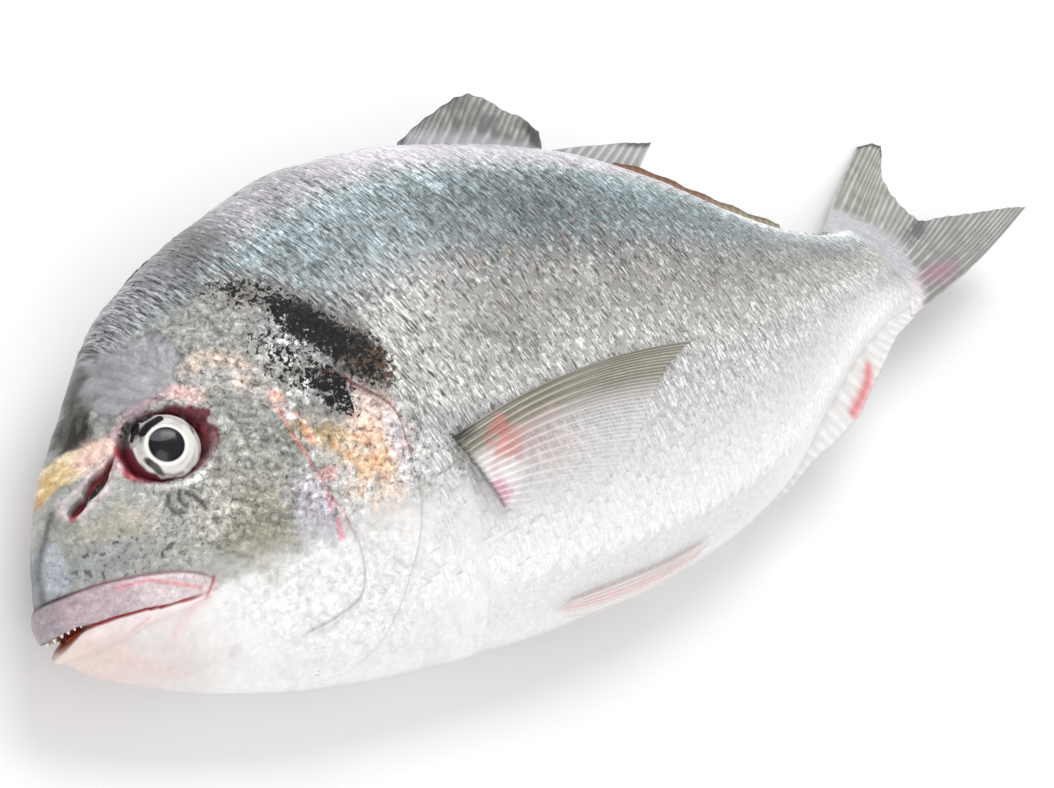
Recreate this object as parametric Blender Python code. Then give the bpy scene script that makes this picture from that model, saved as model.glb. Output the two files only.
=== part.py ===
# A whole raw sea bream, lying on its right side with the left flank up.
# Head at low X, tail at high X, back towards +Y. The shape is worked out in millimetres
# in the fish's own frame: x from snout to tail, h up to the back, z out to the left flank.
import math

import bpy
import bmesh
import numpy as np

MILLIMETRE = 0.001
BODY_LENGTH = 270.0

for old_object in list(bpy.data.objects):
    bpy.data.objects.remove(old_object, do_unlink=True)


# Smooth curves without overshoot between stations
def smooth_curve(knots, values):
    knots = np.asarray(knots, dtype=float)
    values = np.asarray(values, dtype=float)
    step = np.diff(knots)
    slope = np.diff(values) / step
    tangent = np.zeros(len(knots))
    for k in range(1, len(knots) - 1):
        if slope[k - 1] * slope[k] > 0.0:
            near = 2.0 * step[k] + step[k - 1]
            far = step[k] + 2.0 * step[k - 1]
            tangent[k] = (near + far) / (near / slope[k - 1] + far / slope[k])
    tangent[0] = end_tangent(step[0], step[1], slope[0], slope[1])
    tangent[-1] = end_tangent(step[-1], step[-2], slope[-1], slope[-2])

    def evaluate(at):
        at = np.clip(np.asarray(at, dtype=float), knots[0], knots[-1])
        k = np.clip(np.searchsorted(knots, at, side="right") - 1, 0, len(step) - 1)
        f = (at - knots[k]) / step[k]
        start = values[k] * (1.0 + 2.0 * f) * (1.0 - f) ** 2
        end = values[k + 1] * f * f * (3.0 - 2.0 * f)
        lean = tangent[k] * f * (1.0 - f) ** 2 - tangent[k + 1] * f * f * (1.0 - f)
        return start + end + step[k] * lean

    return evaluate


def end_tangent(near_step, far_step, near_slope, far_slope):
    weight = 2.0 * near_step + far_step
    tangent = (weight * near_slope - near_step * far_slope) / (near_step + far_step)
    if tangent * near_slope <= 0.0:
        return 0.0
    if near_slope * far_slope < 0.0 and abs(tangent) > 3.0 * abs(near_slope):
        return 3.0 * near_slope
    return tangent


# Body sections: place from the snout, back, belly and half thickness
STATIONS = (
    (0.0, -18.9, -18.9, 0.0),
    (3.2, -7.3, -25.2, 5.2),
    (8.1, 3.2, -28.8, 8.0),
    (16.2, 14.5, -32.9, 10.6),
    (27.0, 28.7, -37.4, 13.3),
    (40.5, 38.2, -41.3, 16.0),
    (54.0, 44.9, -44.0, 18.2),
    (75.6, 53.0, -46.7, 20.9),
    (97.2, 55.6, -48.4, 21.9),
    (121.5, 54.1, -48.0, 21.2),
    (148.5, 49.7, -45.8, 19.2),
    (175.5, 41.1, -40.0, 16.0),
    (202.5, 28.7, -28.2, 12.2),
    (229.5, 18.7, -19.0, 8.4),
    (251.1, 14.6, -16.0, 5.7),
    (270.0, 15.3, -16.5, 3.5),
)
station_rows = np.array(STATIONS)
root_share = np.sqrt(station_rows[:, 0] / BODY_LENGTH)
back_curve = smooth_curve(root_share, station_rows[:, 1])
belly_curve = smooth_curve(root_share, station_rows[:, 2])
width_curve = smooth_curve(root_share, station_rows[:, 3])
WIDEST_SHARE = 0.47


def section(x):
    share = np.sqrt(np.clip(x, 0.0, BODY_LENGTH) / BODY_LENGTH)
    back, belly, width = back_curve(share), belly_curve(share), width_curve(share)
    middle = belly + (back - belly) * WIDEST_SHARE
    return back, belly, width, middle


def skin(x, angle):
    back, belly, width, middle = section(x)
    reach = np.where(np.sin(angle) >= 0.0, back - middle, middle - belly)
    return np.stack([x + 0.0 * angle, middle + reach * np.sin(angle), width * np.cos(angle)], axis=-1)


# A point above the skin, along its outward normal
def above_skin(x, angle, lift):
    step_x, step_angle, nearest_x = 0.3, 0.02, 0.01
    along = skin(x + step_x, angle) - skin(np.maximum(x - step_x, nearest_x), angle)
    around = skin(x, angle + step_angle) - skin(x, angle - step_angle)
    normal = np.cross(along, around)
    normal = normal / np.linalg.norm(normal, axis=-1, keepdims=True)
    return skin(x, angle) + normal * np.asarray(lift)[..., None]


# The section angle of a place on the left flank, kept a little short of the back and belly lines
STEEPEST_SINE = 0.998


def flank_angle(x, h):
    back, belly, width, middle = section(x)
    reach = np.where(h >= middle, back - middle, middle - belly)
    return np.arcsin(np.clip((h - middle) / reach, -STEEPEST_SINE, STEEPEST_SINE))


# The fish droops and twists towards the tail and lies with its back edge a little raised
BEND_START = 0.45 * BODY_LENGTH
TAIL_TWIST = math.radians(27.1)
TAIL_DROOP = -0.052 * BODY_LENGTH
TAIL_RISE = 0.045 * BODY_LENGTH
LYING_ROLL = math.radians(8.7)
LYING_PITCH = math.radians(1.4)
# Height of the fish's axis at the snout: the lower flank's own depth less the depth it is pressed flat
FLANK_DEPTH = 20.47
PRESSED_DEPTH = 1.9
REST_HEIGHT = FLANK_DEPTH - PRESSED_DEPTH


def lie_down(points):
    x, h, z = points[..., 0], points[..., 1], points[..., 2]
    share = np.clip((x - BEND_START) / (BODY_LENGTH - BEND_START), 0.0, None)
    bow = np.sqrt(np.where(share < 1.0, share * share, 2.0 * share - 1.0))
    twist = TAIL_TWIST * np.minimum(share, 1.0) ** 2
    bent_h = np.cos(twist) * h + np.sin(twist) * z + TAIL_RISE * bow * bow
    bent_z = np.cos(twist) * z - np.sin(twist) * h + TAIL_DROOP * bow * bow
    y = bent_h * math.cos(LYING_ROLL) - bent_z * math.sin(LYING_ROLL)
    tilted = bent_h * math.sin(LYING_ROLL) + bent_z * math.cos(LYING_ROLL)
    out_x = x * math.cos(LYING_PITCH) - tilted * math.sin(LYING_PITCH)
    out_z = tilted * math.cos(LYING_PITCH) + x * math.sin(LYING_PITCH) + REST_HEIGHT
    return np.stack([out_x, y, out_z], axis=-1) * MILLIMETRE


# Collections for the pieces that are joined and for those that are cut away
added_pieces = bpy.data.collections.new("added_pieces")
cut_pieces = bpy.data.collections.new("cut_pieces")
bpy.context.scene.collection.children.link(added_pieces)
bpy.context.scene.collection.children.link(cut_pieces)


def closed_piece(name, points, faces, collection):
    mesh = bpy.data.meshes.new(name)
    mesh.from_pydata(points.reshape(-1, 3).tolist(), [], faces)
    work = bmesh.new()
    work.from_mesh(mesh)
    bmesh.ops.recalc_face_normals(work, faces=work.faces)
    bmesh.ops.triangulate(work, faces=work.faces)
    work.to_mesh(mesh)
    work.free()
    piece = bpy.data.objects.new(name, mesh)
    collection.objects.link(piece)
    return piece


# A closed slab between an outer and an inner grid of points
def slab(name, outer, inner, collection):
    rows, columns = outer.shape[:2]
    count = rows * columns
    index = np.arange(count).reshape(rows, columns)
    faces = []
    for i in range(rows - 1):
        for j in range(columns - 1):
            a, b, c, d = index[i, j], index[i + 1, j], index[i + 1, j + 1], index[i, j + 1]
            faces.append((a, b, c, d))
            faces.append((a + count, d + count, c + count, b + count))
    rim = list(index[0, :]) + list(index[1:, -1]) + list(index[-1, -2::-1]) + list(index[-2:0:-1, 0])
    for k in range(len(rim)):
        p, q = rim[k], rim[(k + 1) % len(rim)]
        faces.append((p, q, q + count, p + count))
    faces = [tuple(int(corner) for corner in face) for face in faces]
    return closed_piece(name, lie_down(np.stack([outer, inner])), faces, collection)


# A closed tube through a row of rings; closed_row joins the last ring to the first
def tube(name, rings, collection, closed_row=False):
    rows, columns = rings.shape[:2]
    index = np.arange(rows * columns).reshape(rows, columns)
    faces = []
    for i in range(rows if closed_row else rows - 1):
        for j in range(columns):
            k, m = (i + 1) % rows, (j + 1) % columns
            faces.append((index[i, j], index[k, j], index[k, m], index[i, m]))
    if not closed_row:
        faces.append(tuple(index[0, ::-1]))
        faces.append(tuple(index[-1, :]))
    faces = [tuple(int(corner) for corner in face) for face in faces]
    return closed_piece(name, lie_down(rings), faces, collection)


# Body, from the snout to the tail root
BODY_RINGS = 48
BODY_SEGMENTS = 36
FIRST_RING_SHARE = 0.045
ring_x = BODY_LENGTH * np.linspace(FIRST_RING_SHARE, 1.0, BODY_RINGS) ** 2
ring_angle = np.arange(BODY_SEGMENTS) * 2.0 * math.pi / BODY_SEGMENTS
body = tube("body", skin(ring_x[:, None], ring_angle[None, :]), added_pieces)


# Tail fin: rays spread from the scaly root to a forked edge; the upper lobe is cut short.
# The edge rows hold the share from the upper to the lower tip, x, h and z.
TAIL_RAYS = 13
TAIL_ROWS = 6
TAIL_ROOT_X = 257.0
TAIL_ROOT_CURVE = 9.0
TAIL_ROOT_TOP = 16.6
TAIL_ROOT_DEPTH = 34.4
TAIL_ROOT_HALF = 3.2
TAIL_ROOT_FADE = 0.11
TAIL_RAY_BOW = 1.7
TAIL_SIDE_SWEEP = 1.4
TAIL_WEB_HALF = 0.42
TAIL_RAY_RIDGE = 0.24
TAIL_EDGE = (
    (0.0, 305.5, 36.1, 3.8),
    (0.12, 318.6, 33.1, 4.3),
    (0.27, 301.1, 21.6, 4.2),
    (0.42, 294.2, 8.8, 4.0),
    (0.5, 295.2, 4.3, 4.0),
    (0.63, 306.0, 0.3, 6.5),
    (0.8, 323.1, -7.6, 10.5),
    (1.0, 338.7, -13.7, 13.2),
)
edge_rows = np.array(TAIL_EDGE)
across = np.linspace(0.0, 1.0, 2 * TAIL_RAYS + 1)[:, None]
outward = (np.linspace(0.0, 1.0, TAIL_ROWS) ** 0.9)[None, :]
edge_x, edge_h, edge_z = (np.interp(across, edge_rows[:, 0], edge_rows[:, k]) for k in (1, 2, 3))
root_x = TAIL_ROOT_X + TAIL_ROOT_CURVE * np.sin(math.pi * across)
root_h = TAIL_ROOT_TOP - TAIL_ROOT_DEPTH * across
tail_x = root_x + (edge_x - root_x) * outward
tail_bow = TAIL_RAY_BOW * np.sin(math.pi * outward) * (1.0 - 2.0 * across)
tail_h = root_h + (edge_h - root_h) * outward + tail_bow
tail_z = edge_z * outward ** TAIL_SIDE_SWEEP
root_thickness = TAIL_ROOT_HALF * np.sqrt(np.clip(1.0 - (2.0 * across - 1.0) ** 2, 0.02, 1.0))
ray_ridge = np.where(np.arange(2 * TAIL_RAYS + 1) % 2 == 1, TAIL_RAY_RIDGE, 0.0)[:, None]
tail_half = TAIL_WEB_HALF + root_thickness * np.exp(-outward / TAIL_ROOT_FADE) + ray_ridge * (1.0 - 0.5 * outward)
slab("tail_fin",
     np.stack([tail_x, tail_h, tail_z + tail_half], axis=-1),
     np.stack([tail_x, tail_h, tail_z - tail_half], axis=-1), added_pieces)


# A fin that stands on the back or the belly: rays lean from a foot line to a free edge
RAY_RIDGE = 0.3


def standing_fin(name, foot_x, foot_h, top_x, top_h, rows, half_foot, half_top, lean):
    rays = len(foot_x)
    share = np.linspace(0.0, 1.0, rows)[None, :]
    x = foot_x[:, None] + (top_x - foot_x)[:, None] * share
    h = foot_h[:, None] + (top_h - foot_h)[:, None] * share
    ridge = np.where(np.arange(rays) % 2 == 0, RAY_RIDGE, 0.0)[:, None]
    half = half_foot + (half_top - half_foot) * share + ridge * (1.0 - 0.6 * share)
    z = lean * share ** 1.5
    slab(name, np.stack([x, h, z + half], axis=-1), np.stack([x, h, z - half], axis=-1), added_pieces)


def back_height(x):
    return section(x)[0]


def belly_height(x):
    return section(x)[1]


# Front lobe of the back fin, its spines half raised
FIN_FOOT_DEPTH = 2.5
lobe_share = np.linspace(0.0, 1.0, 19)
lobe_foot_x = 104.0 + 42.0 * lobe_share
lobe_top_x = np.interp(lobe_share, (0.0, 0.45, 0.7, 1.0), (107.0, 131.0, 139.5, 148.2))
lobe_rise = np.interp(lobe_share, (0.0, 0.15, 0.36, 0.45, 0.55, 0.7, 0.85, 1.0),
                      (1.2, 6.0, 11.5, 13.1, 12.1, 9.9, 8.6, 5.7))
standing_fin("back_fin_front", lobe_foot_x, back_height(lobe_foot_x) - FIN_FOOT_DEPTH,
             lobe_top_x, back_height(lobe_top_x) + lobe_rise, 6, 1.1, 0.4, 0.2)

# Rear part of the back fin: folded rays that end in a free tip pointing to the tail
rear_share = np.linspace(0.0, 1.0, 11)
rear_foot_x = 147.5 + 25.0 * rear_share
rear_top_x = 150.0 + 39.0 * rear_share ** 0.8
rear_top_h = 50.6 - 0.8 * rear_share ** 3
standing_fin("back_fin_rear", rear_foot_x, back_height(rear_foot_x) - FIN_FOOT_DEPTH,
             rear_top_x, rear_top_h, 5, 1.1, 0.45, 0.2)

# Low folded fin strip along the back behind it
strip_x = np.linspace(168.0, 226.0, 24)
strip_rise = 5.2 * np.sin(math.pi * np.clip((strip_x - 160.0) / 74.0, 0.0, 1.0)) ** 0.5
standing_fin("back_fin_folded", strip_x, back_height(strip_x) - FIN_FOOT_DEPTH,
             strip_x + 3.0, back_height(strip_x + 3.0) + strip_rise, 3, 1.3, 0.6, 0.6)

# Belly fin near the tail, folded back along the body
anal_share = np.linspace(0.0, 1.0, 25)
anal_foot_x = 162.0 + 72.0 * anal_share
anal_top_x = 164.0 + 90.0 * anal_share
anal_drop = np.interp(anal_top_x, (164.0, 172.0, 190.0, 200.0, 215.0, 230.0, 245.0, 254.0),
                      (1.5, 5.0, 6.2, 7.2, 9.2, 9.0, 6.8, 4.6))
standing_fin("belly_fin_folded", anal_foot_x, belly_height(anal_foot_x) + FIN_FOOT_DEPTH,
             anal_top_x, belly_height(anal_top_x) - anal_drop, 5, 1.2, 0.4, -0.6)


# A raised plate on one flank; side is 1 for the left flank and -1 for the right.
# Its inner face lies PLATE_DEPTH under the skin, and a plate's hidden inner edge PLATE_SUNK under it.
PLATE_DEPTH = 1.8
PLATE_SUNK = 0.35


def flank_plate(name, x, angle, lift, side):
    outer = above_skin(x, angle, lift)
    inner = above_skin(x, angle, 0.0 * lift - PLATE_DEPTH)
    outer[..., 2] *= side
    inner[..., 2] *= side
    slab(name, outer, inner, added_pieces)


# A plate that rises from a centre to its free edge, given by angle in degrees and radius
def fan_plate(name, centre, edge, inner_share, edge_lift, columns, rows, side):
    edge_angles = np.array([row[0] for row in edge])
    edge_radii = np.array([row[1] for row in edge])
    turn = np.linspace(edge_angles[0], edge_angles[-1], columns)[:, None]
    radius = smooth_curve(edge_angles, edge_radii)(turn)
    share = np.linspace(inner_share, 1.0, rows)[None, :]
    x = centre[0] + radius * share * np.cos(np.radians(turn))
    h = centre[1] + radius * share * np.sin(np.radians(turn))
    climb = (share - inner_share) / (1.0 - inner_share)
    lift = -PLATE_SUNK + (edge_lift + PLATE_SUNK) * climb ** 1.4 + 0.0 * turn
    lift[0, :] = np.minimum(lift[0, :], -0.3)
    lift[1, :] = np.minimum(lift[1, :], 0.3)
    lift[-1, :] = np.minimum(lift[-1, :], 0.1)
    flank_plate(name, x, flank_angle(x, h), lift, side)


GILL_COVER_CENTRE = (40.0, -12.0)
GILL_COVER_EDGE = ((-86.0, 28.6), (-67.0, 30.0), (-55.0, 29.0), (-37.0, 27.2), (-20.0, 26.8),
                   (0.0, 26.4), (22.0, 28.0), (39.0, 26.7), (53.0, 28.0))
CHEEK_CENTRE = (32.0, -10.0)
CHEEK_EDGE = ((-85.0, 22.6), (-57.0, 26.2), (-47.0, 27.6), (-33.5, 24.8), (-24.0, 21.8),
              (-6.5, 17.7), (9.0, 16.6), (28.0, 16.9), (45.0, 20.0))

# Breast fin: a fan of rays folded back along the flank
BREAST_COLUMNS = 15
BREAST_EDGE = (
    (0.0, 145.6, -3.5),
    (0.15, 135.8, -6.4),
    (0.35, 128.3, -11.6),
    (0.6, 119.6, -19.0),
    (0.8, 108.6, -24.5),
    (0.93, 97.1, -25.8),
    (1.0, 90.0, -26.0),
)
BREAST_BOW = 3.3
breast_rows = np.array(BREAST_EDGE)
breast_across = np.linspace(0.0, 1.0, BREAST_COLUMNS)[:, None]
breast_out = np.linspace(0.0, 1.0, 7)[None, :]
breast_edge_x = smooth_curve(breast_rows[:, 0], breast_rows[:, 1])(breast_across)
breast_edge_h = smooth_curve(breast_rows[:, 0], breast_rows[:, 2])(breast_across)
breast_foot_x = 77.0 + 6.5 * breast_across
breast_foot_h = -9.2 - 14.6 * breast_across
breast_x = breast_foot_x + (breast_edge_x - breast_foot_x) * breast_out
breast_h = breast_foot_h + (breast_edge_h - breast_foot_h) * breast_out
breast_h = breast_h + BREAST_BOW * (1.0 - breast_across) * 4.0 * breast_out * (1.0 - breast_out)
breast_ridge = np.where(np.arange(BREAST_COLUMNS) % 2 == 0, RAY_RIDGE, 0.0)[:, None]
breast_swell = 2.2 * np.exp(-((breast_out - 0.12) / 0.13) ** 2) * np.sin(math.pi * breast_across) ** 0.5
breast_lift = 0.9 + 0.5 * (1.0 - breast_across) + breast_swell + breast_ridge
breast_lift = breast_lift * np.clip(breast_out / 0.06 + 0.2, 0.0, 1.0)

# Pelvic fin: a narrow folded fan beside the belly line
PELVIC_COLUMNS = 7
PELVIC_FOOT_X = 94.5
PELVIC_LENGTH = 48.0
PELVIC_UPPER_ANGLE = math.radians(-64.0)
PELVIC_SPREAD = math.radians(16.0)
pelvic_across = np.linspace(0.0, 1.0, PELVIC_COLUMNS)[:, None]
pelvic_out = np.linspace(0.0, 1.0, 8)[None, :]
pelvic_x = PELVIC_FOOT_X + (PELVIC_LENGTH - 9.0 * pelvic_across) * pelvic_out
pelvic_width = PELVIC_SPREAD * (0.35 + 0.65 * np.sin(math.pi * np.minimum(pelvic_out * 0.8, 1.0)))
pelvic_angle = PELVIC_UPPER_ANGLE - pelvic_width * pelvic_across
pelvic_ridge = np.where(np.arange(PELVIC_COLUMNS) % 2 == 0, RAY_RIDGE, 0.0)[:, None]
pelvic_lift = (0.9 - 0.3 * pelvic_out + pelvic_ridge) * np.clip(pelvic_out / 0.06 + 0.2, 0.0, 1.0)

for side, side_name in ((1, "left"), (-1, "right")):
    fan_plate("gill_cover_" + side_name, GILL_COVER_CENTRE, GILL_COVER_EDGE, 0.35, 1.3, 15, 5, side)
    fan_plate("cheek_" + side_name, CHEEK_CENTRE, CHEEK_EDGE, 0.55, 0.75, 13, 4, side)
    flank_plate("breast_fin_" + side_name, breast_x, flank_angle(breast_x, breast_h), breast_lift, side)
    flank_plate("pelvic_fin_" + side_name, pelvic_x, pelvic_angle, pelvic_lift, side)


# The frame of a place on the flank: point, forward along x, up along h, outward
def flank_frame(x, h, side):
    angle = flank_angle(np.array(x), np.array(h))
    point = skin(np.array(x), angle)
    outward_point = above_skin(np.array(x), angle, np.array(1.0))
    normal = outward_point - point
    forward = np.array([1.0, 0.0, 0.0])
    forward = forward - normal * forward.dot(normal)
    forward = forward / np.linalg.norm(forward)
    upward = np.cross(normal, forward)
    flip = np.array([1.0, 1.0, side])
    return point * flip, forward * flip, upward * flip, normal * flip


def ellipsoid(name, place, turn_degrees, radii, depth, side, segments, rows, collection):
    point, forward, upward, normal = flank_frame(place[0], place[1], side)
    turn = math.radians(turn_degrees)
    first = forward * math.cos(turn) + upward * math.sin(turn)
    second = upward * math.cos(turn) - forward * math.sin(turn)
    latitude = np.linspace(-0.47, 0.47, rows) * math.pi
    longitude = np.arange(segments) * 2.0 * math.pi / segments
    ring = np.cos(latitude)[:, None, None]
    rings = (point - normal * depth
             + first * (radii[0] * ring * np.cos(longitude)[None, :, None])
             + second * (radii[1] * ring * np.sin(longitude)[None, :, None])
             + normal * (radii[2] * np.sin(latitude)[:, None, None]))
    tube(name, rings, collection)


# Eyes: a domed ball with a raised rim round it
EYE_PLACE = (25.9, 3.4)
EYE_RADII = (6.5, 5.9, 3.6)
EYE_SUNK = 2.2
RIM_RADII = (7.3, 6.6)
RIM_TUBE = 1.0
RIM_SUNK = 0.35
RIM_SEGMENTS = 20
# Nostrils: a long slit before the eye and a small round hole
SLIT_PLACE = (14.4, 0.4)
SLIT_RADII = (2.6, 0.7, 1.2)
SLIT_TURN = 36.0
HOLE_PLACE = (10.7, -1.7)
HOLE_RADII = (0.8, 0.8, 1.0)

for side, side_name in ((1, "left"), (-1, "right")):
    ellipsoid("eye_" + side_name, EYE_PLACE, 0.0, EYE_RADII, EYE_SUNK, side, 20, 9, added_pieces)
    point, forward, upward, normal = flank_frame(EYE_PLACE[0], EYE_PLACE[1], side)
    around = np.arange(RIM_SEGMENTS) * 2.0 * math.pi / RIM_SEGMENTS
    rim_direction = (forward * np.cos(around)[:, None] * RIM_RADII[0]
                     + upward * np.sin(around)[:, None] * RIM_RADII[1])
    rim_unit = rim_direction / np.linalg.norm(rim_direction, axis=1, keepdims=True)
    rim_turn = np.arange(6) * math.pi / 3.0
    rim_rings = (point + rim_direction[:, None, :] - normal * RIM_SUNK
                 + rim_unit[:, None, :] * (RIM_TUBE * np.cos(rim_turn))[None, :, None]
                 + normal * (RIM_TUBE * np.sin(rim_turn))[None, :, None])
    tube("eye_rim_" + side_name, rim_rings, added_pieces, closed_row=True)
    ellipsoid("nostril_slit_" + side_name, SLIT_PLACE, SLIT_TURN, SLIT_RADII, 0.0, side, 12, 7, cut_pieces)
    ellipsoid("nostril_hole_" + side_name, HOLE_PLACE, 0.0, HOLE_RADII, 0.0, side, 8, 5, cut_pieces)


# The middle of the lips starts this far behind the snout tip
SNOUT_INSET = 1.5


# A path round the snout at a height that depends on x, from the right corner to the left
def snout_path(corner_x, height_curve, steps):
    share = np.linspace(-1.0, 1.0, steps)
    x = corner_x * share * share + SNOUT_INSET
    h = height_curve(x)
    angle = flank_angle(x, h)
    point = skin(x, angle)
    point[:, 2] *= np.sign(np.round(share, 6))
    tangent = np.gradient(point, axis=0)
    tangent[:, 1] = 0.0
    outward_way = np.stack([-tangent[:, 2], 0.0 * x, tangent[:, 0]], axis=1)
    outward_way = outward_way / np.linalg.norm(outward_way, axis=1, keepdims=True)
    return x, point, outward_way


# A band round the snout with an oval section
def snout_band(name, corner_x, steps, height_curve, half_height, out_radius, in_radius, collection):
    x, point, outward_way = snout_path(corner_x, height_curve, steps)
    turn = np.arange(6) * math.pi / 3.0
    bulge = np.where(np.cos(turn) >= 0.0, out_radius, in_radius)
    up = np.array([0.0, 1.0, 0.0])
    rings = (point[:, None, :]
             + up * (half_height(x)[:, None] * np.sin(turn)[None, :])[..., None]
             + outward_way[:, None, :] * (bulge * np.cos(turn))[None, :, None])
    tube(name, rings, collection)


upper_lip_height = smooth_curve((0.0, 4.0, 8.0, 17.0, 23.0, 27.0), (-18.6, -17.7, -17.9, -18.9, -20.2, -21.2))
upper_lip_half = smooth_curve((0.0, 8.0, 17.0, 24.0, 27.0), (2.9, 2.8, 2.4, 1.6, 0.7))
lower_lip_height = smooth_curve((0.0, 4.0, 8.0, 16.0, 24.0), (-24.0, -22.9, -22.9, -22.5, -22.5))
lower_lip_half = smooth_curve((0.0, 6.0, 12.0, 20.0, 24.0), (1.0, 1.5, 1.6, 0.9, 0.5))
mouth_height = smooth_curve((0.0, 2.4, 5.0, 14.0, 19.0, 25.5), (-22.4, -21.5, -20.9, -21.1, -21.8, -21.9))
mouth_half = smooth_curve((0.0, 2.0, 6.0, 25.5), (1.0, 0.75, 0.4, 0.3))
snout_band("upper_lip", 26.0, 20, upper_lip_height, upper_lip_half, 0.9, 2.0, added_pieces)
snout_band("lower_lip", 21.0, 18, lower_lip_height, lower_lip_half, 0.7, 2.0, added_pieces)
snout_band("mouth_slit", 24.5, 21, mouth_height, mouth_half, 3.0, 1.6, cut_pieces)


# The table's plane presses the lower side flat
FLOOR_REACH = 0.6
FLOOR_DEPTH = 0.05
corner = np.array([(sx, sy, sz) for sz in (-1, 1) for sx, sy in ((-1, -1), (1, -1), (1, 1), (-1, 1))], dtype=float)
corner[:, 0] *= FLOOR_REACH
corner[:, 1] *= FLOOR_REACH
corner[:, 2] = np.where(corner[:, 2] > 0.0, 0.0, -FLOOR_DEPTH)
floor_faces = [(0, 1, 2, 3), (4, 7, 6, 5), (0, 4, 5, 1), (1, 5, 6, 2), (2, 6, 7, 3), (3, 7, 4, 0)]
closed_piece("floor_block", corner, floor_faces, cut_pieces)


def apply_modifier(target, modifier):
    bpy.context.view_layer.update()
    graph = bpy.context.evaluated_depsgraph_get()
    applied = bpy.data.meshes.new_from_object(target.evaluated_get(graph))
    target.modifiers.remove(modifier)
    target.data = applied


# Join all pieces to the body in one union, then cut the slits and the flat spot
def apply_boolean(target, collection, operation):
    modifier = target.modifiers.new("join", "BOOLEAN")
    modifier.operation = operation
    modifier.operand_type = "COLLECTION"
    modifier.collection = collection
    modifier.solver = "MANIFOLD"
    apply_modifier(target, modifier)
    for used in list(collection.objects):
        bpy.data.objects.remove(used, do_unlink=True)


added_pieces.objects.unlink(body)
bpy.context.scene.collection.objects.link(body)
apply_boolean(body, added_pieces, "UNION")
apply_boolean(body, cut_pieces, "DIFFERENCE")
bpy.data.collections.remove(added_pieces)
bpy.data.collections.remove(cut_pieces)


# Thin out the small triangles that the joins leave
KEPT_SHARE = 0.92
thinning = body.modifiers.new("thinning", "DECIMATE")
thinning.ratio = KEPT_SHARE
apply_modifier(body, thinning)

# Keep the largest closed shell and make triangles
work = bmesh.new()
work.from_mesh(body.data)
bmesh.ops.triangulate(work, faces=work.faces)
shells = []
unseen = set(work.verts)
while unseen:
    stack = [unseen.pop()]
    shell = set(stack)
    while stack:
        for edge in stack.pop().link_edges:
            for vertex in edge.verts:
                if vertex in unseen:
                    unseen.discard(vertex)
                    shell.add(vertex)
                    stack.append(vertex)
    shells.append(shell)
shells.sort(key=len)
loose = [vertex for shell in shells[:-1] for vertex in shell]
bmesh.ops.delete(work, geom=loose, context="VERTS")
bmesh.ops.recalc_face_normals(work, faces=work.faces)

# Put the origin under the middle of the bounding box
cloud = np.array([vertex.co for vertex in work.verts])
low, high = cloud.min(axis=0), cloud.max(axis=0)
shift = -(low + high) / 2.0
for vertex in work.verts:
    vertex.co.x += shift[0]
    vertex.co.y += shift[1]
work.to_mesh(body.data)
work.free()

skin_material = bpy.data.materials.new("fish_skin")
skin_material.use_nodes = True
shader = skin_material.node_tree.nodes["Principled BSDF"]
shader.inputs["Base Color"].default_value = (0.55, 0.58, 0.60, 1.0)
shader.inputs["Roughness"].default_value = 0.35
body.data.materials.clear()
body.data.materials.append(skin_material)
body.name = "fish"
body.data.name = "fish"
for polygon in body.data.polygons:
    polygon.use_smooth = False
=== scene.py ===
import math

import bmesh
import bpy
import numpy as np
from mathutils import Matrix, Vector


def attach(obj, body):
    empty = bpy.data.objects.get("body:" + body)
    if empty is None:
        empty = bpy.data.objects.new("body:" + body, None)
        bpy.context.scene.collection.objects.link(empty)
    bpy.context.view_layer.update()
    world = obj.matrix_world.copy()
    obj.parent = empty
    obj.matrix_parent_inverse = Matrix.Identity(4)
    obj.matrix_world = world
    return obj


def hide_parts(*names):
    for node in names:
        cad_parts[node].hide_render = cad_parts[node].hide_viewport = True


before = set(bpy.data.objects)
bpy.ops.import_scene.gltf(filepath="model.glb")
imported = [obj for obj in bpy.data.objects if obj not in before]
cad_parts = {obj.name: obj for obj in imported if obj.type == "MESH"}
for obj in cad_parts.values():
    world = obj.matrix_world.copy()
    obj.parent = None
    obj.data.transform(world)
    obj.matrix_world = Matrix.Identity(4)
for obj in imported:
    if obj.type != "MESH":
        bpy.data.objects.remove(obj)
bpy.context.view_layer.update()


# Trunk: the deep muscle body of the sea bream behind the gill covers, under its scales.
# It lies on its right side, droops and twists towards the tail and is pressed flat where it rests.
# All sizes are millimetres in the fish's own frame: x to the tail, h to the back, z to the left flank.
BODY_LENGTH = 270.0
STATIONS = (
    (0.0, -18.9, -18.9, 0.0),
    (3.2, -7.3, -25.2, 5.2),
    (8.1, 3.2, -28.8, 8.0),
    (16.2, 14.5, -32.9, 10.6),
    (27.0, 28.7, -37.4, 13.3),
    (40.5, 38.2, -41.3, 16.0),
    (54.0, 44.9, -44.0, 18.2),
    (75.6, 53.0, -46.7, 20.9),
    (97.2, 55.6, -48.4, 21.9),
    (121.5, 54.1, -48.0, 21.2),
    (148.5, 49.7, -45.8, 19.2),
    (175.5, 41.1, -40.0, 16.0),
    (202.5, 28.7, -28.2, 12.2),
    (229.5, 18.7, -19.0, 8.4),
    (251.1, 14.6, -16.0, 5.7),
    (270.0, 15.3, -16.5, 3.5),
)
WIDEST_SHARE = 0.47
BEND_START = 0.45 * BODY_LENGTH
TAIL_TWIST = math.radians(27.1)
TAIL_DROOP = -0.052 * BODY_LENGTH
TAIL_RISE = 0.045 * BODY_LENGTH
LYING_ROLL = math.radians(8.7)
LYING_PITCH = math.radians(1.4)
REST_HEIGHT = 18.57
ORIGIN_X = 169.66
ORIGIN_Y = 8.46
FLOOR_GAP = 0.05
WELD_DISTANCE = 0.000002
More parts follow.
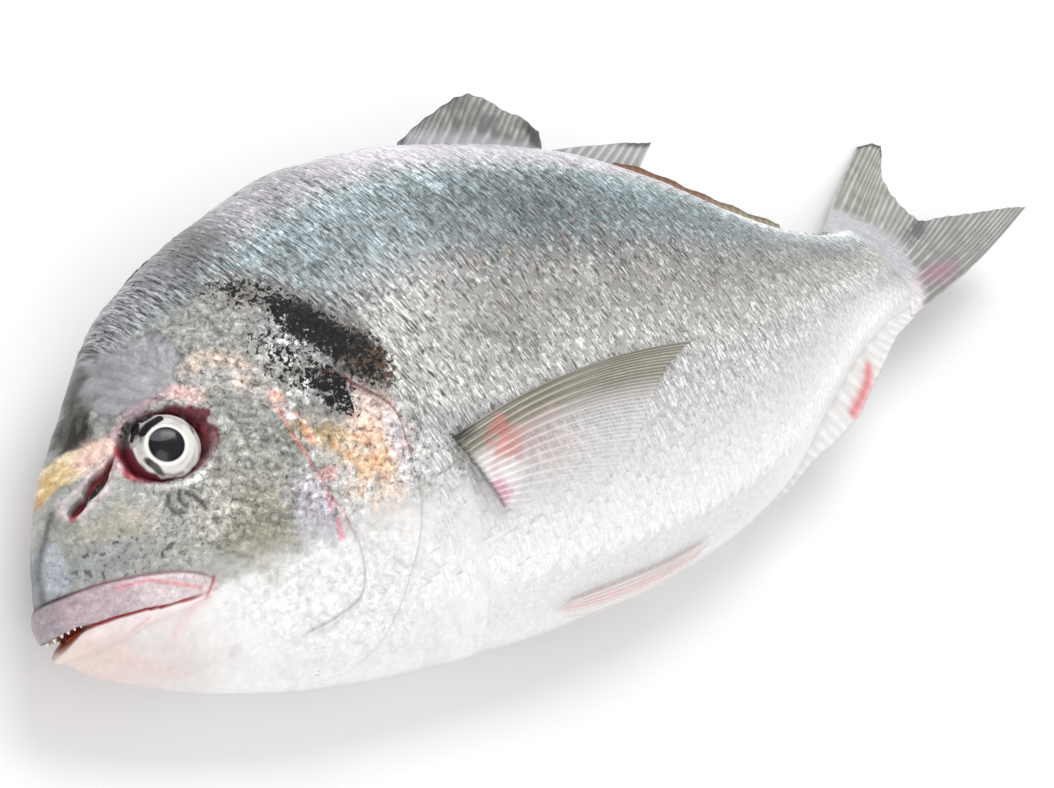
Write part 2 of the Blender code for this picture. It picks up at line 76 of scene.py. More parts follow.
TAIL_THINNING = 0.7


def end_tangent(near_step, far_step, near_slope, far_slope):
    weight = 2.0 * near_step + far_step
    tangent = (weight * near_slope - near_step * far_slope) / (near_step + far_step)
    if tangent * near_slope <= 0.0:
        return 0.0
    if near_slope * far_slope < 0.0 and abs(tangent) > 3.0 * abs(near_slope):
        return 3.0 * near_slope
    return tangent


def smooth_curve(knots, values):
    knots = np.asarray(knots, dtype=float)
    values = np.asarray(values, dtype=float)
    step = np.diff(knots)
    slope = np.diff(values) / step
    tangent = np.zeros(len(knots))
    for k in range(1, len(knots) - 1):
        if slope[k - 1] * slope[k] > 0.0:
            near = 2.0 * step[k] + step[k - 1]
            far = step[k] + 2.0 * step[k - 1]
            tangent[k] = (near + far) / (near / slope[k - 1] + far / slope[k])
    tangent[0] = end_tangent(step[0], step[1], slope[0], slope[1])
    tangent[-1] = end_tangent(step[-1], step[-2], slope[-1], slope[-2])

    def evaluate(at):
        at = np.clip(np.asarray(at, dtype=float), knots[0], knots[-1])
        k = np.clip(np.searchsorted(knots, at, side="right") - 1, 0, len(step) - 1)
        f = (at - knots[k]) / step[k]
        start = values[k] * (1.0 + 2.0 * f) * (1.0 - f) ** 2
        end = values[k + 1] * f * f * (3.0 - 2.0 * f)
        lean = tangent[k] * f * (1.0 - f) ** 2 - tangent[k + 1] * f * f * (1.0 - f)
        return start + end + step[k] * lean

    return evaluate


station_rows = np.array(STATIONS)
root_share = np.sqrt(station_rows[:, 0] / BODY_LENGTH)
back_curve = smooth_curve(root_share, station_rows[:, 1])
belly_curve = smooth_curve(root_share, station_rows[:, 2])
width_curve = smooth_curve(root_share, station_rows[:, 3])


def section(x):
    share = np.sqrt(np.clip(x, 0.0, BODY_LENGTH) / BODY_LENGTH)
    back, belly, width = back_curve(share), belly_curve(share), width_curve(share)
    return back, belly, width, belly + (back - belly) * WIDEST_SHARE


def skin(x, angle):
    back, belly, width, middle = section(x)
    reach = np.where(np.sin(angle) >= 0.0, back - middle, middle - belly)
    width = width * (1.0 - TAIL_THINNING * rise(257.0, 270.0, x))
    return np.stack([x + 0.0 * angle, middle + reach * np.sin(angle), width * np.cos(angle)], axis=-1)


def skin_normal(x, angle):
    along = skin(x + 0.3, angle) - skin(np.maximum(x - 0.3, 0.01), angle)
    around = skin(x, angle + 0.02) - skin(x, angle - 0.02)
    normal = np.cross(along, around)
    normal = normal / np.maximum(np.linalg.norm(normal, axis=-1, keepdims=True), 1.0e-9)
    blunt = np.clip(x / 1.5, 0.0, 1.0)[..., None]
    normal = normal * blunt + np.array([-1.0, 0.0, 0.0]) * (1.0 - blunt)
    return normal / np.linalg.norm(normal, axis=-1, keepdims=True)


def above_skin(x, angle, lift):
    return skin(x, angle) + skin_normal(x, angle) * np.asarray(lift)[..., None]


def flank_angle(x, h):
    back, belly, width, middle = section(x)
    reach = np.where(h >= middle, back - middle, middle - belly)
    return np.arcsin(np.clip((h - middle) / reach, -0.999, 0.999))


def lie_down(points):
    x, h, z = points[..., 0], points[..., 1], points[..., 2]
    share = np.clip((x - BEND_START) / (BODY_LENGTH - BEND_START), 0.0, None)
    bow = np.sqrt(np.where(share < 1.0, share * share, 2.0 * share - 1.0))
    twist = TAIL_TWIST * np.minimum(share, 1.0) ** 2
    bent_h = np.cos(twist) * h + np.sin(twist) * z + TAIL_RISE * bow * bow
    bent_z = np.cos(twist) * z - np.sin(twist) * h + TAIL_DROOP * bow * bow
    y = bent_h * math.cos(LYING_ROLL) - bent_z * math.sin(LYING_ROLL)
    tilted = bent_h * math.sin(LYING_ROLL) + bent_z * math.cos(LYING_ROLL)
    out_x = x * math.cos(LYING_PITCH) - tilted * math.sin(LYING_PITCH)
    out_z = tilted * math.cos(LYING_PITCH) + x * math.sin(LYING_PITCH) + REST_HEIGHT
    laid = np.stack([out_x - ORIGIN_X, y - ORIGIN_Y, np.maximum(out_z, FLOOR_GAP)], axis=-1)
    return laid * 0.001


# Smooth climb from 0 to 1 between two values, the same the other way round, and a bell about a middle
def rise(low, high, value):
    f = np.clip((value - low) / (high - low), 0.0, 1.0)
    return f * f * (3.0 - 2.0 * f)


def fall(low, high, value):
    return 1.0 - rise(low, high, value)


def bell(value, middle, width, power=2):
    return np.exp(-((value - middle) / width) ** power)


noise_lattice = np.random.default_rng(11).random((128, 128))


def mottle(x, h, size, seed=0):
    gx, gh = x / size + 17.3 * seed + 200.0, h / size + 9.1 * seed + 200.0
    ix, ih = np.floor(gx).astype(int), np.floor(gh).astype(int)
    fx, fh = gx - ix, gh - ih
    fx, fh = fx * fx * (3.0 - 2.0 * fx), fh * fh * (3.0 - 2.0 * fh)
    a = noise_lattice[ix % 128, ih % 128]
    b = noise_lattice[(ix + 1) % 128, ih % 128]
    c = noise_lattice[ix % 128, (ih + 1) % 128]
    d = noise_lattice[(ix + 1) % 128, (ih + 1) % 128]
    return (a * (1 - fx) + b * fx) * (1 - fh) + (c * (1 - fx) + d * fx) * fh


# The same noise about zero
def ripple(x, h, size, seed=0):
    return mottle(x, h, size, seed) - 0.5


# Light carried by a tone as pictures give it
def linear(value):
    return np.where(value <= 0.04045, value / 12.92, ((value + 0.055) / 1.055) ** 2.4)


def pigment(red, green, blue):
    return linear(np.array([red, green, blue]) / 255.0)


def paint(colour, mask, tone):
    mask = np.clip(mask, 0.0, 1.0)[..., None]
    return colour * (1.0 - mask) + tone * mask


def oval(x, h, centre, reach, turn=0.0, soft=0.35, ragged=0.0, seed=3):
    c, s = math.cos(math.radians(turn)), math.sin(math.radians(turn))
    dx, dh = x - centre[0], h - centre[1]
    distance = np.hypot((dx * c + dh * s) / reach[0], (dh * c - dx * s) / reach[1])
    distance += ragged * ripple(x, h, 2.2, seed) + 0.6 * ragged * ripple(x, h, 0.9, seed + 1)
    return 1.0 - rise(1.0 - soft, 1.0 + soft, distance)


def stroke_distance(x, h, path):
    best = np.full(np.shape(x), 1.0e6)
    for (ax, ah), (bx, bh) in zip(path[:-1], path[1:]):
        run, climb = bx - ax, bh - ah
        t = np.clip(((x - ax) * run + (h - ah) * climb) / (run ** 2 + climb ** 2), 0.0, 1.0)
        best = np.minimum(best, np.hypot(x - ax - t * run, h - ah - t * climb))
    return best


def stroke(x, h, path, width):
    return bell(stroke_distance(x, h, path), 0.0, width)


# Colour of points x, h, painted over in turn; tones are red, green and blue out of 255
class Coat:
    def __init__(self, x, h, colour):
        self.x, self.h, self.colour = x, h, colour

    def dab(self, mask, red, green, blue):
        self.colour = paint(self.colour, mask, pigment(red, green, blue))

    def spot(self, *form):
        return oval(self.x, self.h, *form)

    def line(self, path, width):
        return stroke(self.x, self.h, path, width)

    def cloud(self, size, seed):
        return mottle(self.x, self.h, size, seed)


def plain_coat(x, h, red, green, blue):
    return Coat(x, h, np.ones(np.shape(x) + (3,)) * pigment(red, green, blue))


# Tone from the belly line (0) to the back line (1), with a painted reflection as the pale band just under
# the back line
FLANK_SHARES = (0.0, 0.04, 0.1, 0.2, 0.3, 0.4, 0.5, 0.6, 0.7, 0.8, 0.87, 0.92, 0.97, 1.0)
FLANK_TONES = (234, 236, 239, 225, 207, 201, 185, 160, 150, 143, 166, 198, 216, 204)
flank_tone = smooth_curve(FLANK_SHARES, FLANK_TONES)


def blotch_colour(colour, x, h):
    coat = Coat(x, h, colour)
    coat.dab(0.6 * coat.spot((50.0, 26.0), (8.0, 3.4), -26.0, 0.5, 0.9), 132, 126, 122)
    coat.dab(0.6 * coat.spot((61.0, 13.5), (11.0, 4.4), -56.0, 0.5, 0.6), 70, 66, 68)
    coat.dab(0.5 * coat.spot((55.6, 2.5), (5.0, 3.4), 70.0, 0.5, 0.9), 112, 110, 112)
    return coat.colour


def flank_share(x, h):
    back, belly, width, middle = section(x)
    return np.clip((h - belly) / np.maximum(back - belly, 0.01), 0.0, 1.0)


def flank_colour(x, h):
    share = flank_share(x, h)
    tone = flank_tone(share)
    # Painted shade: darker on the upper flank towards the head, toning down the lamp's reflection there
    nape = fall(70.0, 125.0, x)
    tone -= nape * rise(0.62, 0.8, share) * 10.0
    rear = rise(178.0, 208.0, x)
    ridge = rise(0.83, 0.92, share)
    front = 0.95 * fall(48.0, 62.0, x) + bell(x, 73.0, 10.0)
    tone = tone + front * ridge * (154.0 - 36.0 * rise(34.0, 46.0, x) * fall(56.0, 66.0, x) - tone)
    # Painted reflection: the pale band under the back line made brighter around x 96 and x 208
    tone += ridge * (16.0 * bell(x, 96.0, 11.0) + 36.0 * bell(x, 208.0, 16.0))
    tone -= 18.0 * bell(x, 95.0, 13.0) * bell(share, 0.5, 0.07)
    upper = rise(0.62, 0.72, share) * fall(0.84, 0.92, share)
    tone -= 30.0 * upper * bell(x, 120.0, 24.0)
    tone += 22.0 * rise(0.5, 0.6, share) * (1.0 - upper) * fall(74.0, 92.0, x) * rise(66.0, 72.0, x)
    tone += rear * rise(0.7, 0.85, share) * 34.0
    tone += 24.0 * rise(236.0, 262.0, x) * rise(0.3, 0.5, share)
    # Painted light: lighter on the lower rear belly, over the shade along the anal fin
    tone += 12.0 * rise(150.0, 185.0, x) * fall(0.06, 0.2, share)
    tone += 16.0 * rise(228.0, 250.0, x) * rise(0.62, 0.75, share)
    tone -= 26.0 * rise(235.0, 262.0, x) * fall(0.45, 0.6, share) * rise(0.0, 0.12, share)
    bands = np.sin((h - 1.0) * 2.0 * math.pi / 6.5) * rise(160.0, 200.0, x)
    tone += bands * 8.0 * rise(0.2, 0.35, share) * fall(0.62, 0.75, share)
    tone -= 20.0 * oval(x, h, (75.5, -6.0), (6.0, 3.0), -30.0, 0.6, 0.7)
    cloud = ripple(x + 0.34 * h, 0.6 * h, 7.0, 63)
    tone += 16.0 * cloud * rise(0.4, 0.6, share)
    grey = (tone / 255.0)[..., None] * np.ones(3)
    blue = rise(0.66, 0.78, share) * fall(0.86, 0.93, share) * (1.0 - 0.6 * rear)
    olive = rise(0.36, 0.5, share) * fall(0.6, 0.72, share)
    # Painted reflection: lilac tint of the pale band under the back line
    lilac_reflection = rise(0.88, 0.94, share)
    grey = grey * (1.0 + blue[..., None] * np.array([-0.09, 0.0, 0.024]))
    grey = grey * (1.0 + olive[..., None] * np.array([0.004, 0.0, -0.02]))
    grey = grey * (1.0 + lilac_reflection[..., None] * np.array([0.006, -0.012, 0.014]))
    return blotch_colour(linear(grey), x, h)


def scale_contrast(x, h):
    share = flank_share(x, h)
    busy = (rise(0.2, 0.45, share) * (0.7 + 0.3 * rise(0.55, 0.7, share))
            * (1.0 - 0.3 * rise(170.0, 215.0, x)))
    return 0.1 + 0.9 * busy * (1.0 - 0.7 * rise(0.88, 0.95, share))


def add_attribute(mesh, name, kind, values):
    slot_name = {"FLOAT": "value", "FLOAT_VECTOR": "vector", "FLOAT_COLOR": "color"}[kind]
    mesh.attributes.new(name, kind, "POINT").data.foreach_set(slot_name, np.ravel(values))


def add_tint(mesh, tints):
    tints = tints.reshape(-1, 3)
    add_attribute(mesh, "tint", "FLOAT_COLOR", np.concatenate([tints, np.ones((len(tints), 1))], axis=1))


def place_piece(name, mesh):
    piece = bpy.data.objects.new(name, mesh)
    bpy.context.scene.collection.objects.link(piece)
    return piece


def settle(piece):
    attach(piece, "root")
    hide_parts("fish")


# One finished piece; "merge" welds doubled points, "outwards" turns every face out
def mesh_piece(name, points, faces, material, tints, silver, merge=False, outwards=False, streaky=None):
    mesh = bpy.data.meshes.new(name)
    mesh.from_pydata(points.reshape(-1, 3).tolist(), [], faces)
    add_tint(mesh, tints)
    add_attribute(mesh, "silver", "FLOAT", silver)
    if streaky is not None:
        add_attribute(mesh, "streaky", "FLOAT", streaky)
    work = bmesh.new()
    work.from_mesh(mesh)
    if merge:
        bmesh.ops.remove_doubles(work, verts=work.verts, dist=WELD_DISTANCE)
    if outwards:
        bmesh.ops.recalc_face_normals(work, faces=work.faces)
    work.to_mesh(mesh)
    work.free()
    mesh.materials.append(material)
    mesh.shade_smooth()
    settle(place_piece(name, mesh))


def grid_faces(rows, columns, closed=False, first=0):
    index = np.arange(rows * columns).reshape(rows, columns) + first
    after = np.roll(index, -1, axis=1) if closed else index[:, 1:]
    now = index if closed else index[:, :-1]
    quads = np.stack([now[:-1], now[1:], after[1:], after[:-1]], axis=-1)
    return quads.reshape(-1, 4).tolist()


# One node, with its settings; an input is linked where its value is another node's socket
def add_node(tree, kind, inputs, **settings):
    node = tree.nodes.new(kind)
    for setting, value in settings.items():
        setattr(node, setting, value)
    for socket, value in inputs.items():
        if isinstance(value, bpy.types.NodeSocket):
            tree.links.new(value, node.inputs[socket])
        else:
            node.inputs[socket].default_value = value
    return node


def read_mask(tree, mask_name):
    return add_node(tree, "ShaderNodeAttribute", {}, attribute_name=mask_name).outputs["Fac"]


def object_place(tree):
    return tree.nodes.new("ShaderNodeTexCoord").outputs["Object"]


def add_noise(tree, place, scale, detail=2.0, roughness=0.5, distortion=0.0):
    inputs = {"Vector": place, "Scale": scale, "Detail": detail, "Roughness": roughness,
              "Distortion": distortion}
    return add_node(tree, "ShaderNodeTexNoise", inputs).outputs["Fac"]


def multiply_add(tree, value, factor, extra):
    return add_node(tree, "ShaderNodeMath", {0: value, 1: factor, 2: extra},
                    operation="MULTIPLY_ADD").outputs["Value"]


def map_range(tree, value, low, high, to_low, to_high, kind="LINEAR"):
    inputs = {"Value": value, "From Min": low, "From Max": high, "To Min": to_low, "To Max": to_high}
    return add_node(tree, "ShaderNodeMapRange", inputs, interpolation_type=kind).outputs["Result"]


def add_ramp(tree, value, stops):
    node = add_node(tree, "ShaderNodeValToRGB", {"Fac": value})
    node.color_ramp.elements[0].position, node.color_ramp.elements[1].position = stops[0][0], stops[-1][0]
    for position, level in stops[1:-1]:
        node.color_ramp.elements.new(position)
    for element, (position, level) in zip(node.color_ramp.elements, stops):
        element.color = (level, level, level, 1.0)
    return node.outputs["Color"]


def set_shader(material, socket, value):
    tree = material.node_tree
    tree.links.new(value, tree.nodes["Principled BSDF"].inputs[socket])


def colour_so_far(material):
    return material.node_tree.nodes["Principled BSDF"].inputs["Base Color"].links[0].from_socket


# Dark flecks and painted glints: multiplies the base colour by twice a ramp of a noise, where the named
# mask is high
def fleck_and_glint_colour(material, noise, stops, mask_name, amount, least=0.0):
    tree = material.node_tree
    swing = multiply_add(tree, add_ramp(tree, noise, stops), 2.0, -1.0)
    strength = multiply_add(tree, read_mask(tree, mask_name), amount, least)
    factor = multiply_add(tree, swing, strength, 1.0)
    shade = add_node(tree, "ShaderNodeVectorMath", {0: colour_so_far(material), "Scale": factor},
                     operation="SCALE")
    set_shader(material, "Base Color", shade.outputs["Vector"])


# Ramp of the skin's fine noise: dark flecks at its low end, painted glints at its high end
FLECK_AND_GLINT_STOPS = ((0.3, 0.08), (0.4, 0.3), (0.48, 0.48), (0.55, 0.56), (0.6, 0.7), (0.66, 1.0))


def skin_material(name, roughness, coat, metal, grain, bump):
    material = bpy.data.materials.new(name)
    material.use_nodes = True
    tree = material.node_tree
    tint = add_node(tree, "ShaderNodeAttribute", {}, attribute_name="tint")
    set_shader(material, "Base Color", tint.outputs["Vector"])
    fine = add_noise(tree, object_place(tree), 900.0, 4.0, 0.72, 0.5)
    fleck_and_glint_colour(material, fine, FLECK_AND_GLINT_STOPS, "silver", grain, 0.06 * grain + 0.02)
    silver = read_mask(tree, "silver")
    set_shader(material, "Roughness", map_range(tree, fine, 0.0, 1.0, roughness - 0.12, roughness + 0.15))
    if metal > 0.0:
        set_shader(material, "Metallic", multiply_add(tree, silver, metal, 0.0))
    shader = tree.nodes["Principled BSDF"]
    shader.inputs["Specular IOR Level"].default_value = 0.28
    shader.inputs["Coat Weight"].default_value = coat
    shader.inputs["Coat Roughness"].default_value = 0.12
    if bump > 0.0:
        strength = multiply_add(tree, silver, 0.85 * bump, 0.15 * bump)
        relief = add_node(tree, "ShaderNodeBump",
                          {"Strength": strength, "Distance": 0.0004, "Height": fine})
        set_shader(material, "Normal", relief.outputs["Normal"])
        set_shader(material, "Coat Normal", relief.outputs["Normal"])
    return material


HEAD_END = 78.0
TRUNK_END = 268.0
trunk_material = skin_material("wet_trunk_skin", 0.38, 0.4, 0.3, 0.12, 0.25)
trunk_x = np.linspace(HEAD_END - 0.4, TRUNK_END, 140)[:, None]
trunk_angle = (np.arange(120) * 2.0 * math.pi / 120)[None, :]
trunk_points = above_skin(trunk_x + 0.0 * trunk_angle, trunk_angle + 0.0 * trunk_x,
                          0.0 * trunk_x - 0.42 + 0.0 * trunk_angle)
trunk_tints = flank_colour(trunk_points[..., 0], trunk_points[..., 1]) * 0.97
trunk_faces = grid_faces(140, 120, closed=True)
mesh_piece("trunk_skin", lie_down(trunk_points), trunk_faces, trunk_material,
           trunk_tints, np.ones(trunk_points.shape[:2]))


# Head: bare and finely scaled skin over the skull, from the snout to behind the gill covers.
# The gill covers and cheeks end in free edges, the lips are thick and soft, and the nostrils are open
# slits.
# Streaks: painted glints and painted shadow lines along the rows of scale edges; width along the fish,
# length across it and depth, in metres
STREAK_SLANT = math.radians(19.0)
STREAK_SIZE = (0.0005, 0.0032, 0.005)
STREAK_GLINT_STOPS = ((0.38, 0.05), (0.44, 0.25), (0.49, 0.45), (0.52, 0.55), (0.56, 0.74), (0.62, 1.0))
ROW_LEAN_HEAD = 0.3
EYE_PLACE = (25.9, 3.4)
EYE_RADII = (6.2, 5.7)
GILL_COVER_CENTRE = (40.0, -12.0)
GILL_COVER_ANGLES = (-86.0, -67.0, -55.0, -37.0, -20.0, 0.0, 22.0, 39.0, 53.0)
GILL_COVER_RADII = (28.6, 30.0, 29.0, 27.2, 26.8, 26.4, 28.0, 26.7, 28.0)
CHEEK_CENTRE = (32.0, -10.0)
CHEEK_ANGLES = (-85.0, -57.0, -47.0, -33.5, -24.0, -6.5, 9.0, 28.0, 45.0)
CHEEK_RADII = (22.6, 26.2, 27.6, 24.8, 21.8, 17.7, 16.6, 16.9, 20.0)
ORBIT_ANGLES = (-180.0, -156.0, -134.0, -112.0, -80.0, -60.0, -38.0, -24.0, -1.0, 12.0, 22.0, 33.0, 60.0,
                100.0, 140.0, 158.0, 180.0)
ORBIT_REACH = (1.28, 1.36, 1.26, 1.12, 1.08, 1.12, 1.28, 1.36, 1.5, 1.32, 1.58, 1.36, 1.18, 1.05, 1.08,
               1.14, 1.28)
orbit_edge = smooth_curve(ORBIT_ANGLES, ORBIT_REACH)
gill_cover_edge = smooth_curve(GILL_COVER_ANGLES, GILL_COVER_RADII)
cheek_edge = smooth_curve(CHEEK_ANGLES, CHEEK_RADII)
lip_top = smooth_curve((0.0, 3.6, 7.8, 13.0, 17.0, 21.6, 25.3, 27.5),
                       (-15.2, -15.2, -15.2, -15.6, -16.2, -17.3, -19.0, -21.0))
mouth_line = smooth_curve((0.0, 2.4, 5.0, 14.0, 19.0, 25.5), (-22.2, -21.6, -20.9, -21.2, -21.8, -21.9))
mouth_gape = smooth_curve((0.0, 1.6, 3.5, 5.5, 8.0, 24.0), (1.2, 1.15, 0.8, 0.35, 0.22, 0.16))
lower_lip_line = smooth_curve((0.0, 5.9, 7.2, 11.0, 14.8, 20.0, 25.5),
                              (-24.6, -24.6, -24.9, -24.7, -23.6, -23.2, -22.6))
NOSTRIL_SLIT = ((9.6, -2.2), (12.0, -0.9), (14.4, 0.6), (16.6, 2.3))
GILL_SEAM = ((51.5, -18.5), (54.0, -21.5), (57.5, -25.0), (60.8, -28.2))
GOLD_BAND = ((6.0, 2.4), (9.4, 4.4), (13.0, 5.0), (16.5, 5.2))
EYE_FOLDS = (
    ((23.6, -5.0), (23.0, -6.4), (23.6, -8.0), (24.6, -8.3)),
    ((25.4, -4.8), (25.0, -6.0), (25.6, -7.6)),
    ((26.4, -5.4), (27.6, -6.6), (28.6, -8.6)),
)


def plate_share(x, h, centre, edge):
    angle = np.degrees(np.arctan2(h - centre[1], x - centre[0]))
    radius = np.hypot(x - centre[0], h - centre[1])
    return angle, radius, edge(angle)


def plate_lift(x, h, centre, edge, first, last, inner, height, drop):
    angle, radius, limit = plate_share(x, h, centre, edge)
    taper = rise(first, first + 12.0, angle) * fall(last - 10.0, last, angle)
    climb = np.clip((radius / limit - inner) / (1.0 - inner), 0.0, 1.0) ** 1.5
    end = fall(0.0, drop, radius - limit)
    return height * climb * end * taper


def scale_bumps(x, h, pitch):
    row = np.floor(h / (1.25 * pitch) + 0.4 * ripple(x, h, 6.0, 12))
    along = (x + ROW_LEAN_HEAD * h) / pitch + 0.5 * (row % 2) + 0.5 * ripple(x, h, 3.0, 13)
    across = 2.0 * (h / (1.25 * pitch) - np.floor(h / (1.25 * pitch))) - 1.0
    share = along - np.floor(along)
    return share ** 1.6 * (1.0 - 0.5 * across * across)


def eye_distance(x, h):
    return np.hypot((x - EYE_PLACE[0]) / EYE_RADII[0], (h - EYE_PLACE[1]) / EYE_RADII[1])


def nostril_opening(x, h):
    slit = oval(x, h, (14.0, 0.5), (3.0, 1.05), 38.0, 0.25, 0.25, 14)
    tail = oval(x, h, (16.4, 2.4), (1.9, 0.5), 42.0, 0.3)
    hole = oval(x, h, (10.2, -2.3), (1.7, 0.85), 36.0, 0.3, 0.3, 15)
    return np.maximum(np.maximum(slit, tail), hole)


def head_relief(x, h):
    lift = plate_lift(x, h, GILL_COVER_CENTRE, gill_cover_edge, -86.0, 53.0, 0.3, 1.3, 0.7)
    lift += plate_lift(x, h, CHEEK_CENTRE, cheek_edge, -85.0, 45.0, 0.5, 0.7, 0.7)
    rough = rise(-22.0, -12.0, h) * (1.0 - oval(x, h, (21.0, 14.0), (8.0, 6.0), 30.0)) * rise(16.0, 30.0, x)
    grain = ripple(x, h, 1.2, 1) * 0.26 + ripple(x, h, 0.7, 2) * 0.24
    lift += rough * grain
    scaled = np.clip(oval(x, h, (36.0, -4.0), (12.0, 15.0), 0.0, 0.3)
                     + rise(14.0, 20.0, h - 0.25 * (x - 30.0)), 0.0, 1.0)
    lift += 0.26 * rough * scaled * scale_bumps(x, h, 1.9)
    lift += ripple(x, h, 2.6, 4) * 0.22
    lift -= 0.45 * stroke(x, h, GILL_SEAM, 0.5)
    for fold in EYE_FOLDS:
        lift -= 0.35 * stroke(x, h, fold, 0.4)
    lift -= 2.2 * nostril_opening(x, h)
    lift += 0.3 * bell(stroke_distance(x, h, NOSTRIL_SLIT), 1.5, 0.45)
    ring = eye_distance(x, h)
    ragged = ring + 0.1 * ripple(x, h, 1.3, 6)
    lift *= rise(0.9, 1.25, ring)
    lift -= 1.9 * fall(0.92, 1.2, ragged)
    lift += 0.55 * bell(ring, 1.32, 0.14)
    top, mouth, low = lip_top(x), mouth_line(x), lower_lip_line(x)
    upper = np.clip((h - mouth) / (top - mouth), 0.0, 1.0)
    lower = np.clip((mouth - h) / (mouth - low), 0.0, 1.0)
    fade = fall(22.0, 27.5, x)
    lift += 1.05 * fade * np.sqrt(np.clip(4.0 * upper * (1.0 - upper), 0.0, 1.0))
    lift += 0.75 * fade * np.sqrt(np.clip(4.0 * lower * (1.0 - lower), 0.0, 1.0))
    gape = mouth_gape(x)
    slit = fall(0.75, 1.25, np.abs(h - mouth) / gape) * fall(22.0, 25.0, x)
    return lift - slit * (1.2 + 1.8 * np.exp(-x / 5.0))


def forehead_patch(x, h):
    return oval(x, h, (25.8, 16.6), (8.2, 6.2), 40.0, 0.12, 0.55, 24)


# Strength of the head's grain: its bumps, its metalness, its dark flecks and its painted glints
def head_grain_and_glint(x, h):
    grain = rise(-20.0, -13.0, h + 1.2 * ripple(x, h, 2.4, 25)) * (0.45 + 0.55 * rise(14.0, 27.0, x))
    grain = grain * (1.0 - 0.8 * forehead_patch(x, h)) * (1.0 - 0.7 * nape_mask(x, h))
    grain = np.maximum(grain, 0.26 * oval(x, h, (47.0, -26.0), (19.0, 11.0), -20.0, 0.5, 0.4))
    top, mouth = lip_top(x), mouth_line(x)
    lip = rise(-0.3, 0.3, top - h) * fall(26.0, 27.5, x)
    return np.clip(grain * (1.0 - lip) + 0.3 * lip * rise(-0.2, 0.2, h - mouth), 0.0, 1.0)


